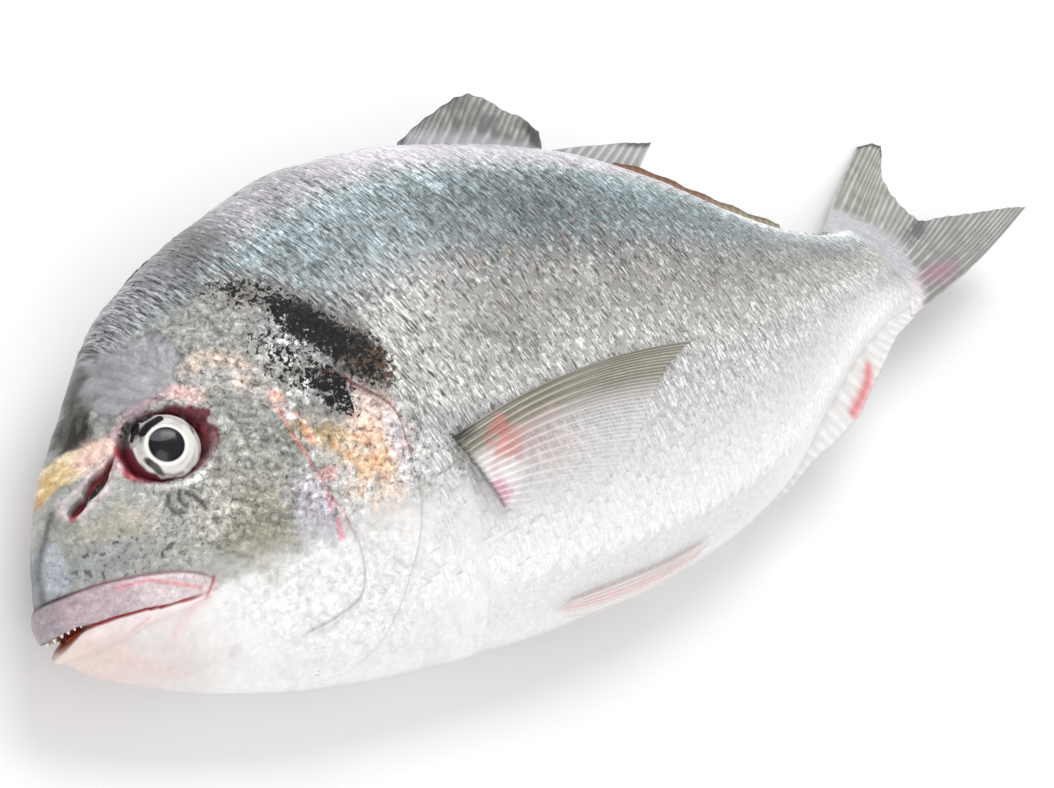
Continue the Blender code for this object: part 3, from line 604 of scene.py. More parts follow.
def head_colour(x, h):
    coat = Coat(x, h, flank_colour(x, h))
    dab, spot, line, cloud = coat.dab, coat.spot, coat.line, coat.cloud
    fleck = cloud(1.0, 21)
    blotch = cloud(3.2, 22)
    nape = nape_mask(x, h)
    head = fall(34.0, 56.0, x - 0.25 * (h + 10.0)) * (1.0 - nape)
    dab(head * rise(-26.0, -16.0, h), 168, 168, 164)
    dab(rise(0.35, 0.75, blotch) * 0.4 * rise(-22.0, -12.0, h) * (1.0 - nape), 140, 140, 130)
    dab(0.2 * nape * fall(52.0, 72.0, x) * fall(34.0, 42.0, h), 92, 112, 122)
    pale = (fall(-22.5, -18.5, h + 5.0 * ripple(x, h, 1.5, 30) + 3.0 * (blotch - 0.5))
            * (1.0 - 0.5 * rise(66.0, 70.0, x)))
    dab(pale, 231, 230, 229)
    # Cheek: olive towards its lower front, cream behind and above the eye, dark flecks in rows
    dab(0.6 * spot((35.0, -12.5), (7.5, 7.5), 0.0, 0.8, 1.0), 148, 143, 118)
    dab(0.4 * spot((38.6, 13.0), (6.6, 3.2), -8.0, 0.7, 0.9), 210, 206, 200)
    arc = line(((33.5, 14.6), (37.3, 16.0), (41.6, 15.4), (43.6, 12.6), (42.0, 9.8)), 1.5)
    dab(0.55 * arc * rise(0.1, 0.6, fleck), 240, 206, 184)
    dab(0.25 * spot((45.5, 8.0), (3.6, 5.0), 0.0, 0.6, 0.8), 216, 206, 200)
    dab(0.65 * spot((29.6, -8.6), (4.6, 3.8), 0.0, 0.7, 0.9), 206, 202, 194)
    dab(0.3 * spot((42.0, -1.0), (5.0, 6.0), 0.0, 0.6, 0.6), 168, 168, 162)
    dab(0.45 * spot((14.8, -7.0), (5.6, 3.0), 0.0, 0.7, 0.8), 184, 174, 152)
    dab(0.45 * spot((10.0, -11.5), (6.0, 3.0), 0.0, 0.7, 0.8), 128, 134, 142)
    rows = (rise(0.55, 0.8, mottle(x, 2.4 * h + 0.9 * x, 1.5, 26)) * rise(26.0, 30.0, x)
            * rise(-22.0, -16.0, h))
    dab(0.55 * rows * (1.0 - nape) * fall(48.0, 56.0, x), 92, 90, 80)
    # Smooth forehead: a lilac patch with a torn edge, dark olive streaks towards the midline
    edge = forehead_patch(x, h)
    dab(4.0 * edge * (1.0 - edge), 96, 98, 96)
    dab(edge, 154, 154, 158)
    dab(0.5 * edge * rise(0.5, 0.7, mottle(x + h, 0.3 * (h - x), 1.2, 27)), 128, 128, 132)
    dark = spot((15.6, 11.4), (7.0, 2.0), 58.0, 0.5, 0.8)
    dab(dark, 70, 67, 58)
    dab(0.85 * dark * rise(0.5, 0.62, mottle(1.6 * (x * 0.85 - h * 0.53), 0.35 * h, 1.0, 28)), 28, 28, 22)
    dab(0.75 * spot((19.6, 20.2), (5.6, 1.5), 56.0, 0.5, 0.9), 50, 50, 48)
    dab(0.8 * spot((3.4, -11.0), (2.2, 5.2), -14.0, 0.25, 0.4), 176, 182, 190)
    dab(0.75 * line(((0.9, -14.8), (2.0, -10.5), (3.2, -8.0), (5.2, -4.5), (7.0, -1.5)), 0.4), 60, 62, 68)
    # Gold band between the eyes, turning pink at the eye
    band = fall(1.7, 2.6, stroke_distance(x, h, GOLD_BAND) + 0.8 * ripple(x, h, 1.8, 23))
    dab(0.95 * band, 226, 204, 160)
    dab(0.75 * band * fall(8.5, 12.0, x), 212, 168, 92)
    dab(0.8 * band * fall(6.6, 8.0, x), 188, 120, 40)
    # Painted highlights: pale flecks on the gold band
    dab(0.5 * band * rise(0.5, 0.8, fleck), 250, 240, 212)
    dab(0.9 * spot((16.4, 4.8), (3.6, 2.6), 10.0, 0.5, 0.3), 240, 202, 194)
    mask = 0.6 * line(((19.7, 7.5), (22.6, 9.8), (26.5, 11.2), (29.8, 11.4), (32.3, 11.2)), 0.8)
    dab(mask, 186, 146, 158)
    dab(0.6 * spot((32.6, 10.8), (3.0, 1.6), -20.0, 0.5, 0.5), 240, 196, 190)
    # Dark red orbit with a torn rear edge, a wide front corner and a white fold under it
    ring = eye_distance(x, h) + 0.1 * ripple(x, h, 0.9, 31)
    side = np.degrees(np.arctan2(h - EYE_PLACE[1], x - EYE_PLACE[0]))
    wide = orbit_edge(side)
    dab(fall(wide - 0.03, wide + 0.05, ring), 92, 26, 36)
    shade = bell(side, 138.0, 26.0, 4) * fall(wide + 0.02, wide + 0.14, ring)
    dab(0.95 * shade, 104, 98, 98)
    dab(shade * rise(0.52, 0.6, mottle(x + 0.6 * h, 0.4 * (h - x), 0.7, 33)), 14, 13, 14)
    corner = bell(side, -165.0, 30.0) + bell(side, 185.0, 18.0)
    dab(0.8 * corner * np.exp(-((ring - wide + 0.04) / 0.07) ** 2), 196, 84, 100)
    fold = bell(eye_distance(x, h), 1.3, 0.12) * bell(side, -72.0, 40.0)
    dab(fold, 246, 244, 240)
    # Nostrils and the short folds under the eye
    dab(0.7 * bell(stroke_distance(x, h, NOSTRIL_SLIT), 1.6, 0.5), 214, 200, 204)
    dab(nostril_opening(x, h), 112, 20, 32)
    dab(spot((13.4, 0.0), (2.4, 0.5), 38.0, 0.4), 16, 4, 6)
    dab(0.8 * spot((9.2, -3.4), (1.0, 0.6), 60.0, 0.4), 180, 60, 70)
    for fold_path in EYE_FOLDS:
        dab(0.9 * line(fold_path, 0.45), 56, 56, 54)
    pores = rise(0.74, 0.82, cloud(0.6, 41)) * spot((14.0, -12.0), (10.0, 3.8), -4.0, 0.4)
    dab(0.8 * pores, 46, 48, 50)
    # Salmon and pink along the free edge of the cheek
    mask = 0.8 * line(((46.6, 6.4), (48.2, 3.0), (49.3, 0.0), (49.8, -3.0)), 1.0) * rise(0.15, 0.6, fleck)
    dab(mask, 240, 158, 138)
    dab(0.8 * spot((51.0, -9.0), (2.0, 1.5), 15.0, 0.5, 0.7), 206, 120, 132)
    mask = (0.7 * line(((49.4, -12.0), (49.2, -14.6), (49.6, -17.2), (49.6, -20.0)), 0.7)
            * rise(0.2, 0.6, fleck))
    dab(mask, 220, 112, 134)
    dab(0.45 * spot((46.4, -14.5), (3.4, 5.6), 10.0, 0.7, 0.7), 186, 178, 198)
    angle, radius, limit = plate_share(x, h, CHEEK_CENTRE, cheek_edge)
    edge = np.exp(-((radius - limit + 0.1) / 0.3) ** 2)
    dab(0.8 * edge * rise(8.0, 18.0, angle) * fall(44.0, 52.0, angle), 222, 120, 112)
    dab(0.7 * edge * rise(-30.0, -22.0, angle) * fall(8.0, 16.0, angle), 186, 104, 116)
    dab(0.6 * edge * rise(-80.0, -60.0, angle) * fall(-30.0, -22.0, angle), 150, 144, 150)
    # Orange and yellow patch on the gill cover, blended with pink and grey
    dab(0.6 * spot((58.5, -8.0), (8.0, 9.5), 0.0, 0.5, 0.6), 228, 216, 206)
    dab(0.75 * spot((52.8, -2.4), (4.6, 2.2), -24.0, 0.7, 1.1), 178, 148, 80)
    dab(0.62 * spot((59.0, -9.4), (4.4, 5.8), 16.0, 0.7, 1.4), 236, 178, 116)
    dab(0.5 * spot((61.6, -1.6), (4.8, 4.4), -35.0, 0.6, 1.0), 238, 196, 184)
    dab(0.4 * line(((57.0, -3.0), (60.0, -7.0), (60.0, -12.0), (63.0, -15.0)), 0.35), 236, 140, 90)
    dab(0.6 * spot((64.8, -9.5), (1.5, 7.5), -3.0, 0.5, 0.4), 214, 210, 220)
    dab(0.6 * spot((62.8, -16.0), (3.6, 3.6), 0.0, 0.6, 0.7), 222, 214, 210)
    coat.colour = blotch_colour(coat.colour, x, h)
    # Painted glints: white flecks at the front of the blotch
    blotch_glints = (rise(0.62, 0.74, mottle(x + 0.5 * h, h, 0.9, 44))
              * spot((52.0, 11.0), (4.6, 11.0), -14.0, 0.5, 0.5))
    dab(0.9 * blotch_glints, 242, 244, 246)
    # Red line along the upper free edge of the gill cover
    dab(0.95 * line(((56.6, 8.6), (58.1, 7.2), (60.5, 4.7), (63.4, 2.0), (66.2, -0.2)), 0.55), 96, 18, 24)
    dab(0.8 * line(((66.2, -0.2), (67.2, -3.7), (66.6, -7.2), (66.7, -11.0)), 0.35), 150, 78, 76)
    # Lips
    top, mouth, low = lip_top(x), mouth_line(x), lower_lip_line(x)
    upper = rise(-0.15, 0.15, h - mouth) * fall(-0.2, 0.2, h - top) * fall(26.0, 27.5, x)
    dab(upper, 181, 163, 170)
    dab(upper * rise(9.0, 19.0, x), 214, 200, 202)
    dab(upper * 0.6 * fall(1.0, 4.0, x), 140, 132, 140)
    dab(0.85 * bell(h, top, 0.3) * fall(25.0, 28.0, x), 104, 50, 62)
    dab(0.8 * bell(h, top, 0.4) * fall(3.0, 6.0, x), 30, 30, 34)
    dab(0.7 * line(((11.0, -16.6), (16.0, -16.9), (20.0, -18.8), (24.0, -20.6)), 0.3), 212, 116, 126)
    dab(0.85 * line(((26.8, -19.6), (26.2, -20.6), (25.4, -21.6), (24.6, -22.4)), 0.28), 160, 62, 68)
    dab(0.4 * line(((24.6, -22.4), (22.0, -23.4), (20.0, -25.2), (18.4, -27.0)), 1.1), 238, 184, 184)
    lower = rise(-0.2, 0.2, mouth - h) * fall(-0.3, 0.6, low - h) * fall(21.0, 26.0, x)
    dab(0.7 * lower, 242, 222, 220)
    mask = 0.7 * line(((5.4, -22.9), (6.2, -24.5), (8.7, -24.9), (12.0, -23.6), (14.9, -22.6)), 0.28)
    dab(mask, 234, 140, 142)
    gape = mouth_gape(x)
    dark = fall(0.8, 1.3, np.abs(h - mouth) / gape) * fall(21.0, 25.0, x)
    dab(dark * fall(4.5, 7.0, x), 96, 22, 14)
    dab(0.7 * dark * fall(4.0, 6.0, x) * rise(0.1, 0.7, mouth - h), 190, 92, 34)
    dab(dark * rise(4.5, 7.0, x), 206, 92, 98)
    # Pink tint and faint marks of the chin
    chin = spot((5.0, -27.0), (9.0, 5.0), -35.0, 0.7, 0.4)
    jaw = spot((12.0, -28.5), (13.0, 6.5), -22.0, 0.6, 0.3) * (1.0 - upper) * (1.0 - dark)
    dab(0.85 * jaw, 212, 203, 201)
    dab(0.5 * chin * (1.0 - upper) * (1.0 - dark), 226, 196, 186)
    dab(0.25 * line(((10.0, -26.5), (14.0, -29.5), (20.0, -33.0)), 0.8), 236, 190, 188)
    dab(0.35 * spot((28.0, -32.0), (1.3, 1.0), 0.0, 0.6), 186, 174, 196)
    clear = fall(-22.0, -16.0, h) * rise(27.0, 34.0, x)
    dab(0.18 * clear * rise(0.55, 0.8, mottle(1.6 * x + h, 0.7 * h, 2.4, 29)), 196, 196, 198)
    dab(0.3 * line(GILL_SEAM, 0.5), 176, 172, 178)
    # Painted shadow: grey just outside the gill cover's free edge, where it stands over the skin behind
    angle, radius, limit = plate_share(x, h, GILL_COVER_CENTRE, gill_cover_edge)
    edge_shadow = (np.exp(-((radius - limit - 0.4) / 0.4) ** 2) * rise(-84.0, -70.0, angle)
              * fall(10.0, 25.0, angle))
    dab(0.6 * edge_shadow, 140, 140, 142)
    strength = 0.16 * head_grain_and_glint(x, h) + 0.03
    return np.clip(coat.colour * (1.0 + strength * (fleck - 0.5) * 2.0)[..., None], 0.002, 0.95)


def add_glint_streaks(material, amount):
    tree = material.node_tree
    inputs = {"Vector": object_place(tree), "Rotation": (0.0, 0.0, STREAK_SLANT), "Scale": STREAK_SIZE}
    slant = add_node(tree, "ShaderNodeMapping", inputs, vector_type="TEXTURE")
    lines = add_noise(tree, slant.outputs["Vector"], 1.0, 4.0, 0.68, 1.1)
    fleck_and_glint_colour(material, lines, STREAK_GLINT_STOPS, "streaky", amount)


# Blotch above the gill opening: brown and black layers of ovals and a bright layer of painted glints,
# broken by noises into a ragged net
# Each layer has its colour, the fineness of its two noises, its threshold and its ovals
# Each oval has its middle, its half lengths, its turn in degrees and its strength
NET_SHARES = (1.5, 0.9)
# Colour sockets of a mix node: both inputs and the result
MIX_A, MIX_B, MIX_RESULT = 6, 7, 2
BLOTCH_LAYERS = (
    ((0.085, 0.048, 0.026), (560.0, 1500.0), (1.6, 1.78), (
        ((64.8, 9.8), (11.5, 5.8), -56.0, 0.8),
    )),
    ((0.0015, 0.0018, 0.0025), (620.0, 1900.0), (1.66, 1.78), (
        ((58.2, 17.0), (14.5, 6.0), -55.0, 0.86),
        ((56.2, 6.2), (11.0, 4.8), -74.0, 0.68),
        ((49.0, 26.8), (11.0, 5.0), -22.0, 0.52),
        ((64.6, 9.6), (11.5, 7.0), -56.0, 0.61),
        ((50.6, 12.0), (12.0, 6.4), -68.0, 0.54),
    )),
    # Painted glints: white-blue flecks inside the black
    ((0.62, 0.66, 0.72), (900.0, 2600.0), (1.83, 1.95), (
        ((56.0, 13.0), (17.0, 7.0), -60.0, 0.42),
    )),
)


def blotch_level(tree, flat, ovals):
    level = None
    for (centre_x, centre_h), (long, short), turn, strength in ovals:
        angle = flank_angle(np.array(centre_x), np.array(centre_h))
        spot = lie_down(skin(np.array(centre_x), angle))
        inputs = {"Vector": flat, "Location": (spot[0], spot[1], 0.0),
                  "Rotation": (0.0, 0.0, math.radians(turn)),
                  "Scale": (long * 0.001, short * 0.001, 1.0)}
        fit = add_node(tree, "ShaderNodeMapping", inputs, vector_type="TEXTURE")
        radius = add_node(tree, "ShaderNodeVectorMath", {0: fit.outputs["Vector"]}, operation="LENGTH")
        fade = map_range(tree, radius.outputs["Value"], 0.2, 1.2, strength, 0.0, "SMOOTHSTEP")
        if level is None:
            level = fade
        else:
            level = add_node(tree, "ShaderNodeMath", {0: level, 1: fade},
                             operation="MAXIMUM").outputs["Value"]
    return level


def add_blotch(material, coat):
    tree = material.node_tree
    place = object_place(tree)
    flat = add_node(tree, "ShaderNodeVectorMath", {0: place, 1: (1.0, 1.0, 0.0)}, operation="MULTIPLY")
    for colour, nets, limits, ovals in BLOTCH_LAYERS:
        level = blotch_level(tree, flat.outputs["Vector"], ovals)
        for scale, share in zip(nets, NET_SHARES):
            level = multiply_add(tree, add_noise(tree, place, scale, 3.0, 0.5, 1.2), share, level)
        crisp = map_range(tree, level, limits[0], limits[1], 0.0, 1.0)
        inputs = {"Factor": crisp, MIX_A: colour_so_far(material), MIX_B: colour + (1.0,)}
        mixer = add_node(tree, "ShaderNodeMix", inputs, data_type="RGBA")
        set_shader(material, "Base Color", mixer.outputs[MIX_RESULT])
        if colour[0] < 0.01:
            set_shader(material, "Coat Weight", map_range(tree, crisp, 0.0, 1.0, coat, 0.1 * coat))


def nape_mask(x, h):
    nape = rise(-1.5, 2.5, h - 22.0 - 0.3 * (x - 24.0) + 2.5 * ripple(x, h, 2.0, 64)) * rise(17.0, 22.0, x)
    behind = rise(66.0, 70.0, x + 0.25 * (h - 4.0)) * rise(-14.0, 0.0, h)
    return np.maximum(nape, behind)


head_material = skin_material("wet_head_skin", 0.36, 0.35, 0.15, 1.0, 1.0)
add_glint_streaks(head_material, 1.0)
add_blotch(head_material, 0.35)
for side, side_name, columns, rows in ((1, "left", 310, 320), (-1, "right", 150, 250)):
    head_x = (HEAD_END * np.linspace(0.0, 1.0, rows) ** 1.3)[:, None] + np.zeros((1, columns))
    head_angle = np.linspace(-0.5, 0.5, columns)[None, :] * math.pi + np.zeros((rows, 1))
    base = skin(head_x, head_angle)
    lift = head_relief(base[..., 0], base[..., 1])
    seam = rise(0.0, 3.0, HEAD_END - head_x)
    points = above_skin(head_x, head_angle, lift * seam)
    points[..., 0] += 1.7 * np.exp(-head_x / 4.0)
    colour = head_colour(base[..., 0], base[..., 1])
    points[..., 2] *= side
    faces = grid_faces(rows, columns)
    if side < 0:
        faces = [face[::-1] for face in faces]
    grain = head_grain_and_glint(base[..., 0], base[..., 1])
    mesh_piece("head_" + side_name, lie_down(points), faces, head_material, colour, grain,
               merge=True, streaky=nape_mask(base[..., 0], base[..., 1]))


# Scales: thin horny plates in slanted rows on both flanks, each with its front edge under the one before.
# They are silvery and wet, darker along the flank above the middle and white towards the belly.
SCALE_LENGTH = 4.6
SCALE_WIDTH = 3.6
SCALE_TILT = math.radians(1.6)
ROW_LEAN = 0.34
scale_material = skin_material("silver_scales", 0.34, 0.4, 0.15, 0.8, 0.5)


def first_scale(h):
    path_h = (-60.0, -42.0, -36.0, -28.0, -12.0, 0.0, 6.0, 14.0, 22.0, 26.0, 29.0, 32.0, 36.0, 60.0)
    path_x = (62.0, 56.0, 62.0, 68.0, 70.0, 69.0, 67.0, 63.0, 58.0, 52.0, 44.0, 37.0, 34.0, 34.0)
    return np.interp(h, path_h, path_x)


def scale_seats(side):
    shuffle = np.random.default_rng(5 + side)
    seats, facing, along, sizes, tints, shine = [], [], [], [], [], []
    x, column = 30.0, 0
    while x < 284.0:
        shrink = 1.0 - 0.26 * float(rise(170.0, 268.0, x))
        back, belly, width, middle = section(np.array([min(x, BODY_LENGTH)]))
        reach = 0.5 * math.pi * float(back[0] - belly[0] + 2.0 * width[0]) * 0.5
        rows = int(reach / (2.9 * shrink))
        angle = (np.arange(rows) + 0.25 + 0.5 * (column % 2)) / rows * math.pi - 0.5 * math.pi
        angle = angle + shuffle.normal(0.0, 0.006, rows)
        centre_h = skin(np.full(rows, min(x, BODY_LENGTH)), angle)[:, 1]
        seat_x = x - ROW_LEAN * centre_h + shuffle.normal(0.0, 0.12, rows)
        point = skin(seat_x, angle)
        keep = (seat_x > first_scale(point[:, 1])) & (seat_x < 262.0 + 5.0 * np.cos(angle))
        keep &= np.abs(angle) < 1.5
        angle, seat_x = angle[keep], seat_x[keep]
        if len(angle):
            lift = -0.38 + 0.45 * rise(0.0, 6.0, HEAD_END - seat_x) - 0.55 * rise(0.84, 1.08, -angle)
            low = above_skin(seat_x, angle, lift)
            high = above_skin(seat_x, angle, lift + 0.5)
            arc = np.linalg.norm(skin(seat_x, angle + 0.02) - skin(seat_x, angle - 0.02), axis=-1) / 0.04
            ahead = above_skin(seat_x + 0.5, angle + 0.5 * ROW_LEAN / arc, lift)
            for cloud in (low, high, ahead):
                cloud[:, 2] *= side
            tint = flank_colour(seat_x, low[:, 1])
            busy = scale_contrast(seat_x, low[:, 1])
            streak = ripple(seat_x + ROW_LEAN * low[:, 1], low[:, 1] * 0.6, 2.4, 61)
            tint = tint * (1.0 + busy * (0.2 * streak + 0.05 * (shuffle.random(len(angle)) - 0.5)))[:, None]
            rust = ((shuffle.random(len(angle)) < 0.12)
                    * oval(seat_x, low[:, 1], (125.0, 17.0), (42.0, 13.0), -8.0, 0.6))
            tint = paint(tint, 0.22 * rust, pigment(150, 120, 96))
            seats.append(low)
            facing.append(high)
            along.append(ahead)
            sizes.append(shrink * (1.0 + 0.06 * shuffle.normal(0.0, 1.0, len(angle))))
            tints.append(tint)
            shine.append(busy)
        x, column = x + 2.15 * shrink, column + 1
    seats, facing, along = (np.concatenate(part) for part in (seats, facing, along))
    raw = lie_down(seats)
    resting = raw[:, 2] > 0.0006
    normal = lie_down(facing) - raw
    tangent = lie_down(along) - raw
    normal /= np.linalg.norm(normal, axis=1, keepdims=True)
    tangent /= np.linalg.norm(tangent, axis=1, keepdims=True)
    sizes, tints, shine = (np.concatenate(part) for part in (sizes, tints, shine))
    tints = np.clip(tints, 0.005, 0.95)
    return (part[resting] for part in (raw, normal, tangent, sizes, tints, shine))


def one_scale():
    rows, columns = 5, 5
    u = np.array((0.0, 0.5, 0.62, 0.9, 1.0))[:, None] + np.zeros((1, columns))
    v = np.linspace(-1.0, 1.0, columns)[None, :] + np.zeros((rows, 1))
    outline = np.sqrt(np.clip(1.0 - (np.clip(u - 0.45, 0.0, 1.0) / 0.6) ** 8.0, 0.05, 1.0))
    x = (u - 0.5) * SCALE_LENGTH - 0.055 * SCALE_LENGTH * v * v * u
    y = v * outline * SCALE_WIDTH * 0.5
    z = 0.05 * (1.0 - v * v) - 0.3 * (1.0 - u) ** 2
    mesh = bpy.data.meshes.new("one_scale")
    mesh.from_pydata((np.stack([x, y, z], axis=-1).reshape(-1, 3) * 0.001).tolist(), [],
                     grid_faces(rows, columns))
    mesh.flip_normals()
    add_attribute(mesh, "rim", "FLOAT", np.clip((u - 0.5) / 0.5, 0.0, 1.0) + 0.0 * v)
    return place_piece("one_scale", mesh)


def scale_tree():
    tree = bpy.data.node_groups.new("scale_rows", "GeometryNodeTree")
    for socket_name, kind in (("Seats", "NodeSocketGeometry"), ("Scale", "NodeSocketObject"),
                              ("Tilt", "NodeSocketFloat"), ("Tilt spread", "NodeSocketFloat"),
                              ("Skin", "NodeSocketMaterial")):
        tree.interface.new_socket(socket_name, in_out="INPUT", socket_type=kind)
    tree.interface.new_socket("Scales", in_out="OUTPUT", socket_type="NodeSocketGeometry")
    given = tree.nodes.new("NodeGroupInput").outputs
    source = add_node(tree, "GeometryNodeObjectInfo", {"Object": given["Scale"], "As Instance": True})
    attributes = {}
    for name, kind in (("facing", "FLOAT_VECTOR"), ("along", "FLOAT_VECTOR"), ("size", "FLOAT"),
                       ("raise", "FLOAT")):
        node = add_node(tree, "GeometryNodeInputNamedAttribute", {"Name": name}, data_type=kind)
        attributes[name] = node.outputs["Attribute"]
    stand = add_node(tree, "FunctionNodeAlignRotationToVector", {"Vector": attributes["facing"]}, axis="Z")
    point = add_node(tree, "FunctionNodeAlignRotationToVector",
                     {"Rotation": stand.outputs["Rotation"],
                      "Vector": attributes["along"]}, axis="X", pivot_axis="Z")
    spread = add_node(tree, "ShaderNodeCombineXYZ",
                      {axis: given["Tilt spread"] for axis in "XYZ"}).outputs["Vector"]
    opposite = add_node(tree, "ShaderNodeVectorMath", {0: spread, "Scale": -1.0},
                        operation="SCALE").outputs["Vector"]
    lean = add_node(tree, "FunctionNodeRandomValue", {"Min": opposite, "Max": spread, "Seed": 7},
                    data_type="FLOAT_VECTOR")
    lower = add_node(tree, "ShaderNodeMath", {0: given["Tilt"], 1: -1.0}, operation="MULTIPLY")
    raised = add_node(tree, "ShaderNodeCombineXYZ", {"Y": lower.outputs["Value"]})
    both = add_node(tree, "ShaderNodeVectorMath", {0: raised.outputs["Vector"], 1: lean.outputs[0]},
                    operation="ADD")
    calm = add_node(tree, "ShaderNodeVectorMath",
                    {0: both.outputs["Vector"], "Scale": attributes["raise"]}, operation="SCALE")
    angles = add_node(tree, "FunctionNodeEulerToRotation", {"Euler": calm.outputs["Vector"]})
    turn = add_node(tree, "FunctionNodeRotateRotation",
                    {"Rotation": point.outputs["Rotation"], "Rotate By": angles.outputs["Rotation"]},
                    rotation_space="LOCAL")
    place = add_node(tree, "GeometryNodeInstanceOnPoints",
                     {"Points": given["Seats"], "Instance": source.outputs["Geometry"],
                      "Rotation": turn.outputs["Rotation"], "Scale": attributes["size"]})
    real = add_node(tree, "GeometryNodeRealizeInstances", {"Geometry": place.outputs["Instances"]})
    smooth = add_node(tree, "GeometryNodeSetShadeSmooth", {"Geometry": real.outputs["Geometry"]})
    finish = add_node(tree, "GeometryNodeSetMaterial",
                      {"Geometry": smooth.outputs["Geometry"], "Material": given["Skin"]})
    add_node(tree, "NodeGroupOutput", {"Scales": finish.outputs["Geometry"]})
    return tree


def grow_scales(tree, name, seed_scale, side):
    seats, normal, tangent, sizes, tints, shine = scale_seats(side)
    mesh = bpy.data.meshes.new(name + "_seats")
    mesh.from_pydata(seats.tolist(), [], [])
    add_tint(mesh, tints)
    for attribute, kind, values in (("facing", "FLOAT_VECTOR", normal), ("along", "FLOAT_VECTOR", tangent),
                                    ("size", "FLOAT", sizes), ("silver", "FLOAT", shine),
                                    ("streaky", "FLOAT", shine), ("raise", "FLOAT", 0.2 + 0.8 * shine)):
        add_attribute(mesh, attribute, kind, values)
    seat_piece = place_piece(name + "_seats", mesh)
    grower = seat_piece.modifiers.new("scales", "NODES")
    grower.node_group = tree
    values = {"Scale": seed_scale, "Tilt": SCALE_TILT, "Tilt spread": math.radians(1.1),
              "Skin": scale_material}
    for socket in tree.interface.items_tree:
        if socket.in_out == "INPUT" and socket.name in values:
            grower[socket.identifier] = values[socket.name]
    bpy.context.view_layer.update()
    graph = bpy.context.evaluated_depsgraph_get()
    grown = bpy.data.meshes.new_from_object(seat_piece.evaluated_get(graph), depsgraph=graph)
    bpy.data.objects.remove(seat_piece, do_unlink=True)
    for vertex in grown.vertices:
        vertex.co.z = max(vertex.co.z, FLOOR_GAP * 0.001)
    settle(place_piece(name, grown))


# Painted shadow: each scale is darkened where it comes out from under the one before it, fading to its
# plain colour towards its free rim
OVERLAP_SHADOW_STOPS = ((0.0, 0.84), (0.12, 0.88), (0.3, 0.98), (0.85, 0.99), (1.0, 1.0))


def paint_overlap_shadow(material):
    tree = material.node_tree
    ramp = add_ramp(tree, read_mask(tree, "rim"), OVERLAP_SHADOW_STOPS)
    window = map_range(tree, add_noise(tree, object_place(tree), 260.0), 0.38, 0.6, 0.25, 1.0)
    amount = multiply_add(tree, window, read_mask(tree, "silver"), 0.0)
    inputs = {"Factor": amount, MIX_A: colour_so_far(material), MIX_B: ramp}
    mixer = add_node(tree, "ShaderNodeMix", inputs, data_type="RGBA", blend_type="MULTIPLY")
    set_shader(material, "Base Color", mixer.outputs[MIX_RESULT])


paint_overlap_shadow(scale_material)
add_glint_streaks(scale_material, 1.0)
add_blotch(scale_material, 0.4)
seed_scale = one_scale()
scale_rows = scale_tree()
for side, side_name in ((1, "left"), (-1, "right")):
    grow_scales(scale_rows, "scales_" + side_name, seed_scale, side)
bpy.data.objects.remove(seed_scale, do_unlink=True)


# Eyes: a moist ball in each orbit under the smooth forehead, clouded black and grey, with a pale iris.
# The clear outer layer is the wet gloss over the ball.
eye_material = skin_material("wet_eye", 0.24, 0.12, 0.0, 0.06, 0.0)
EYE_DEPTH = 3.6
EYE_SUNK = 2.2
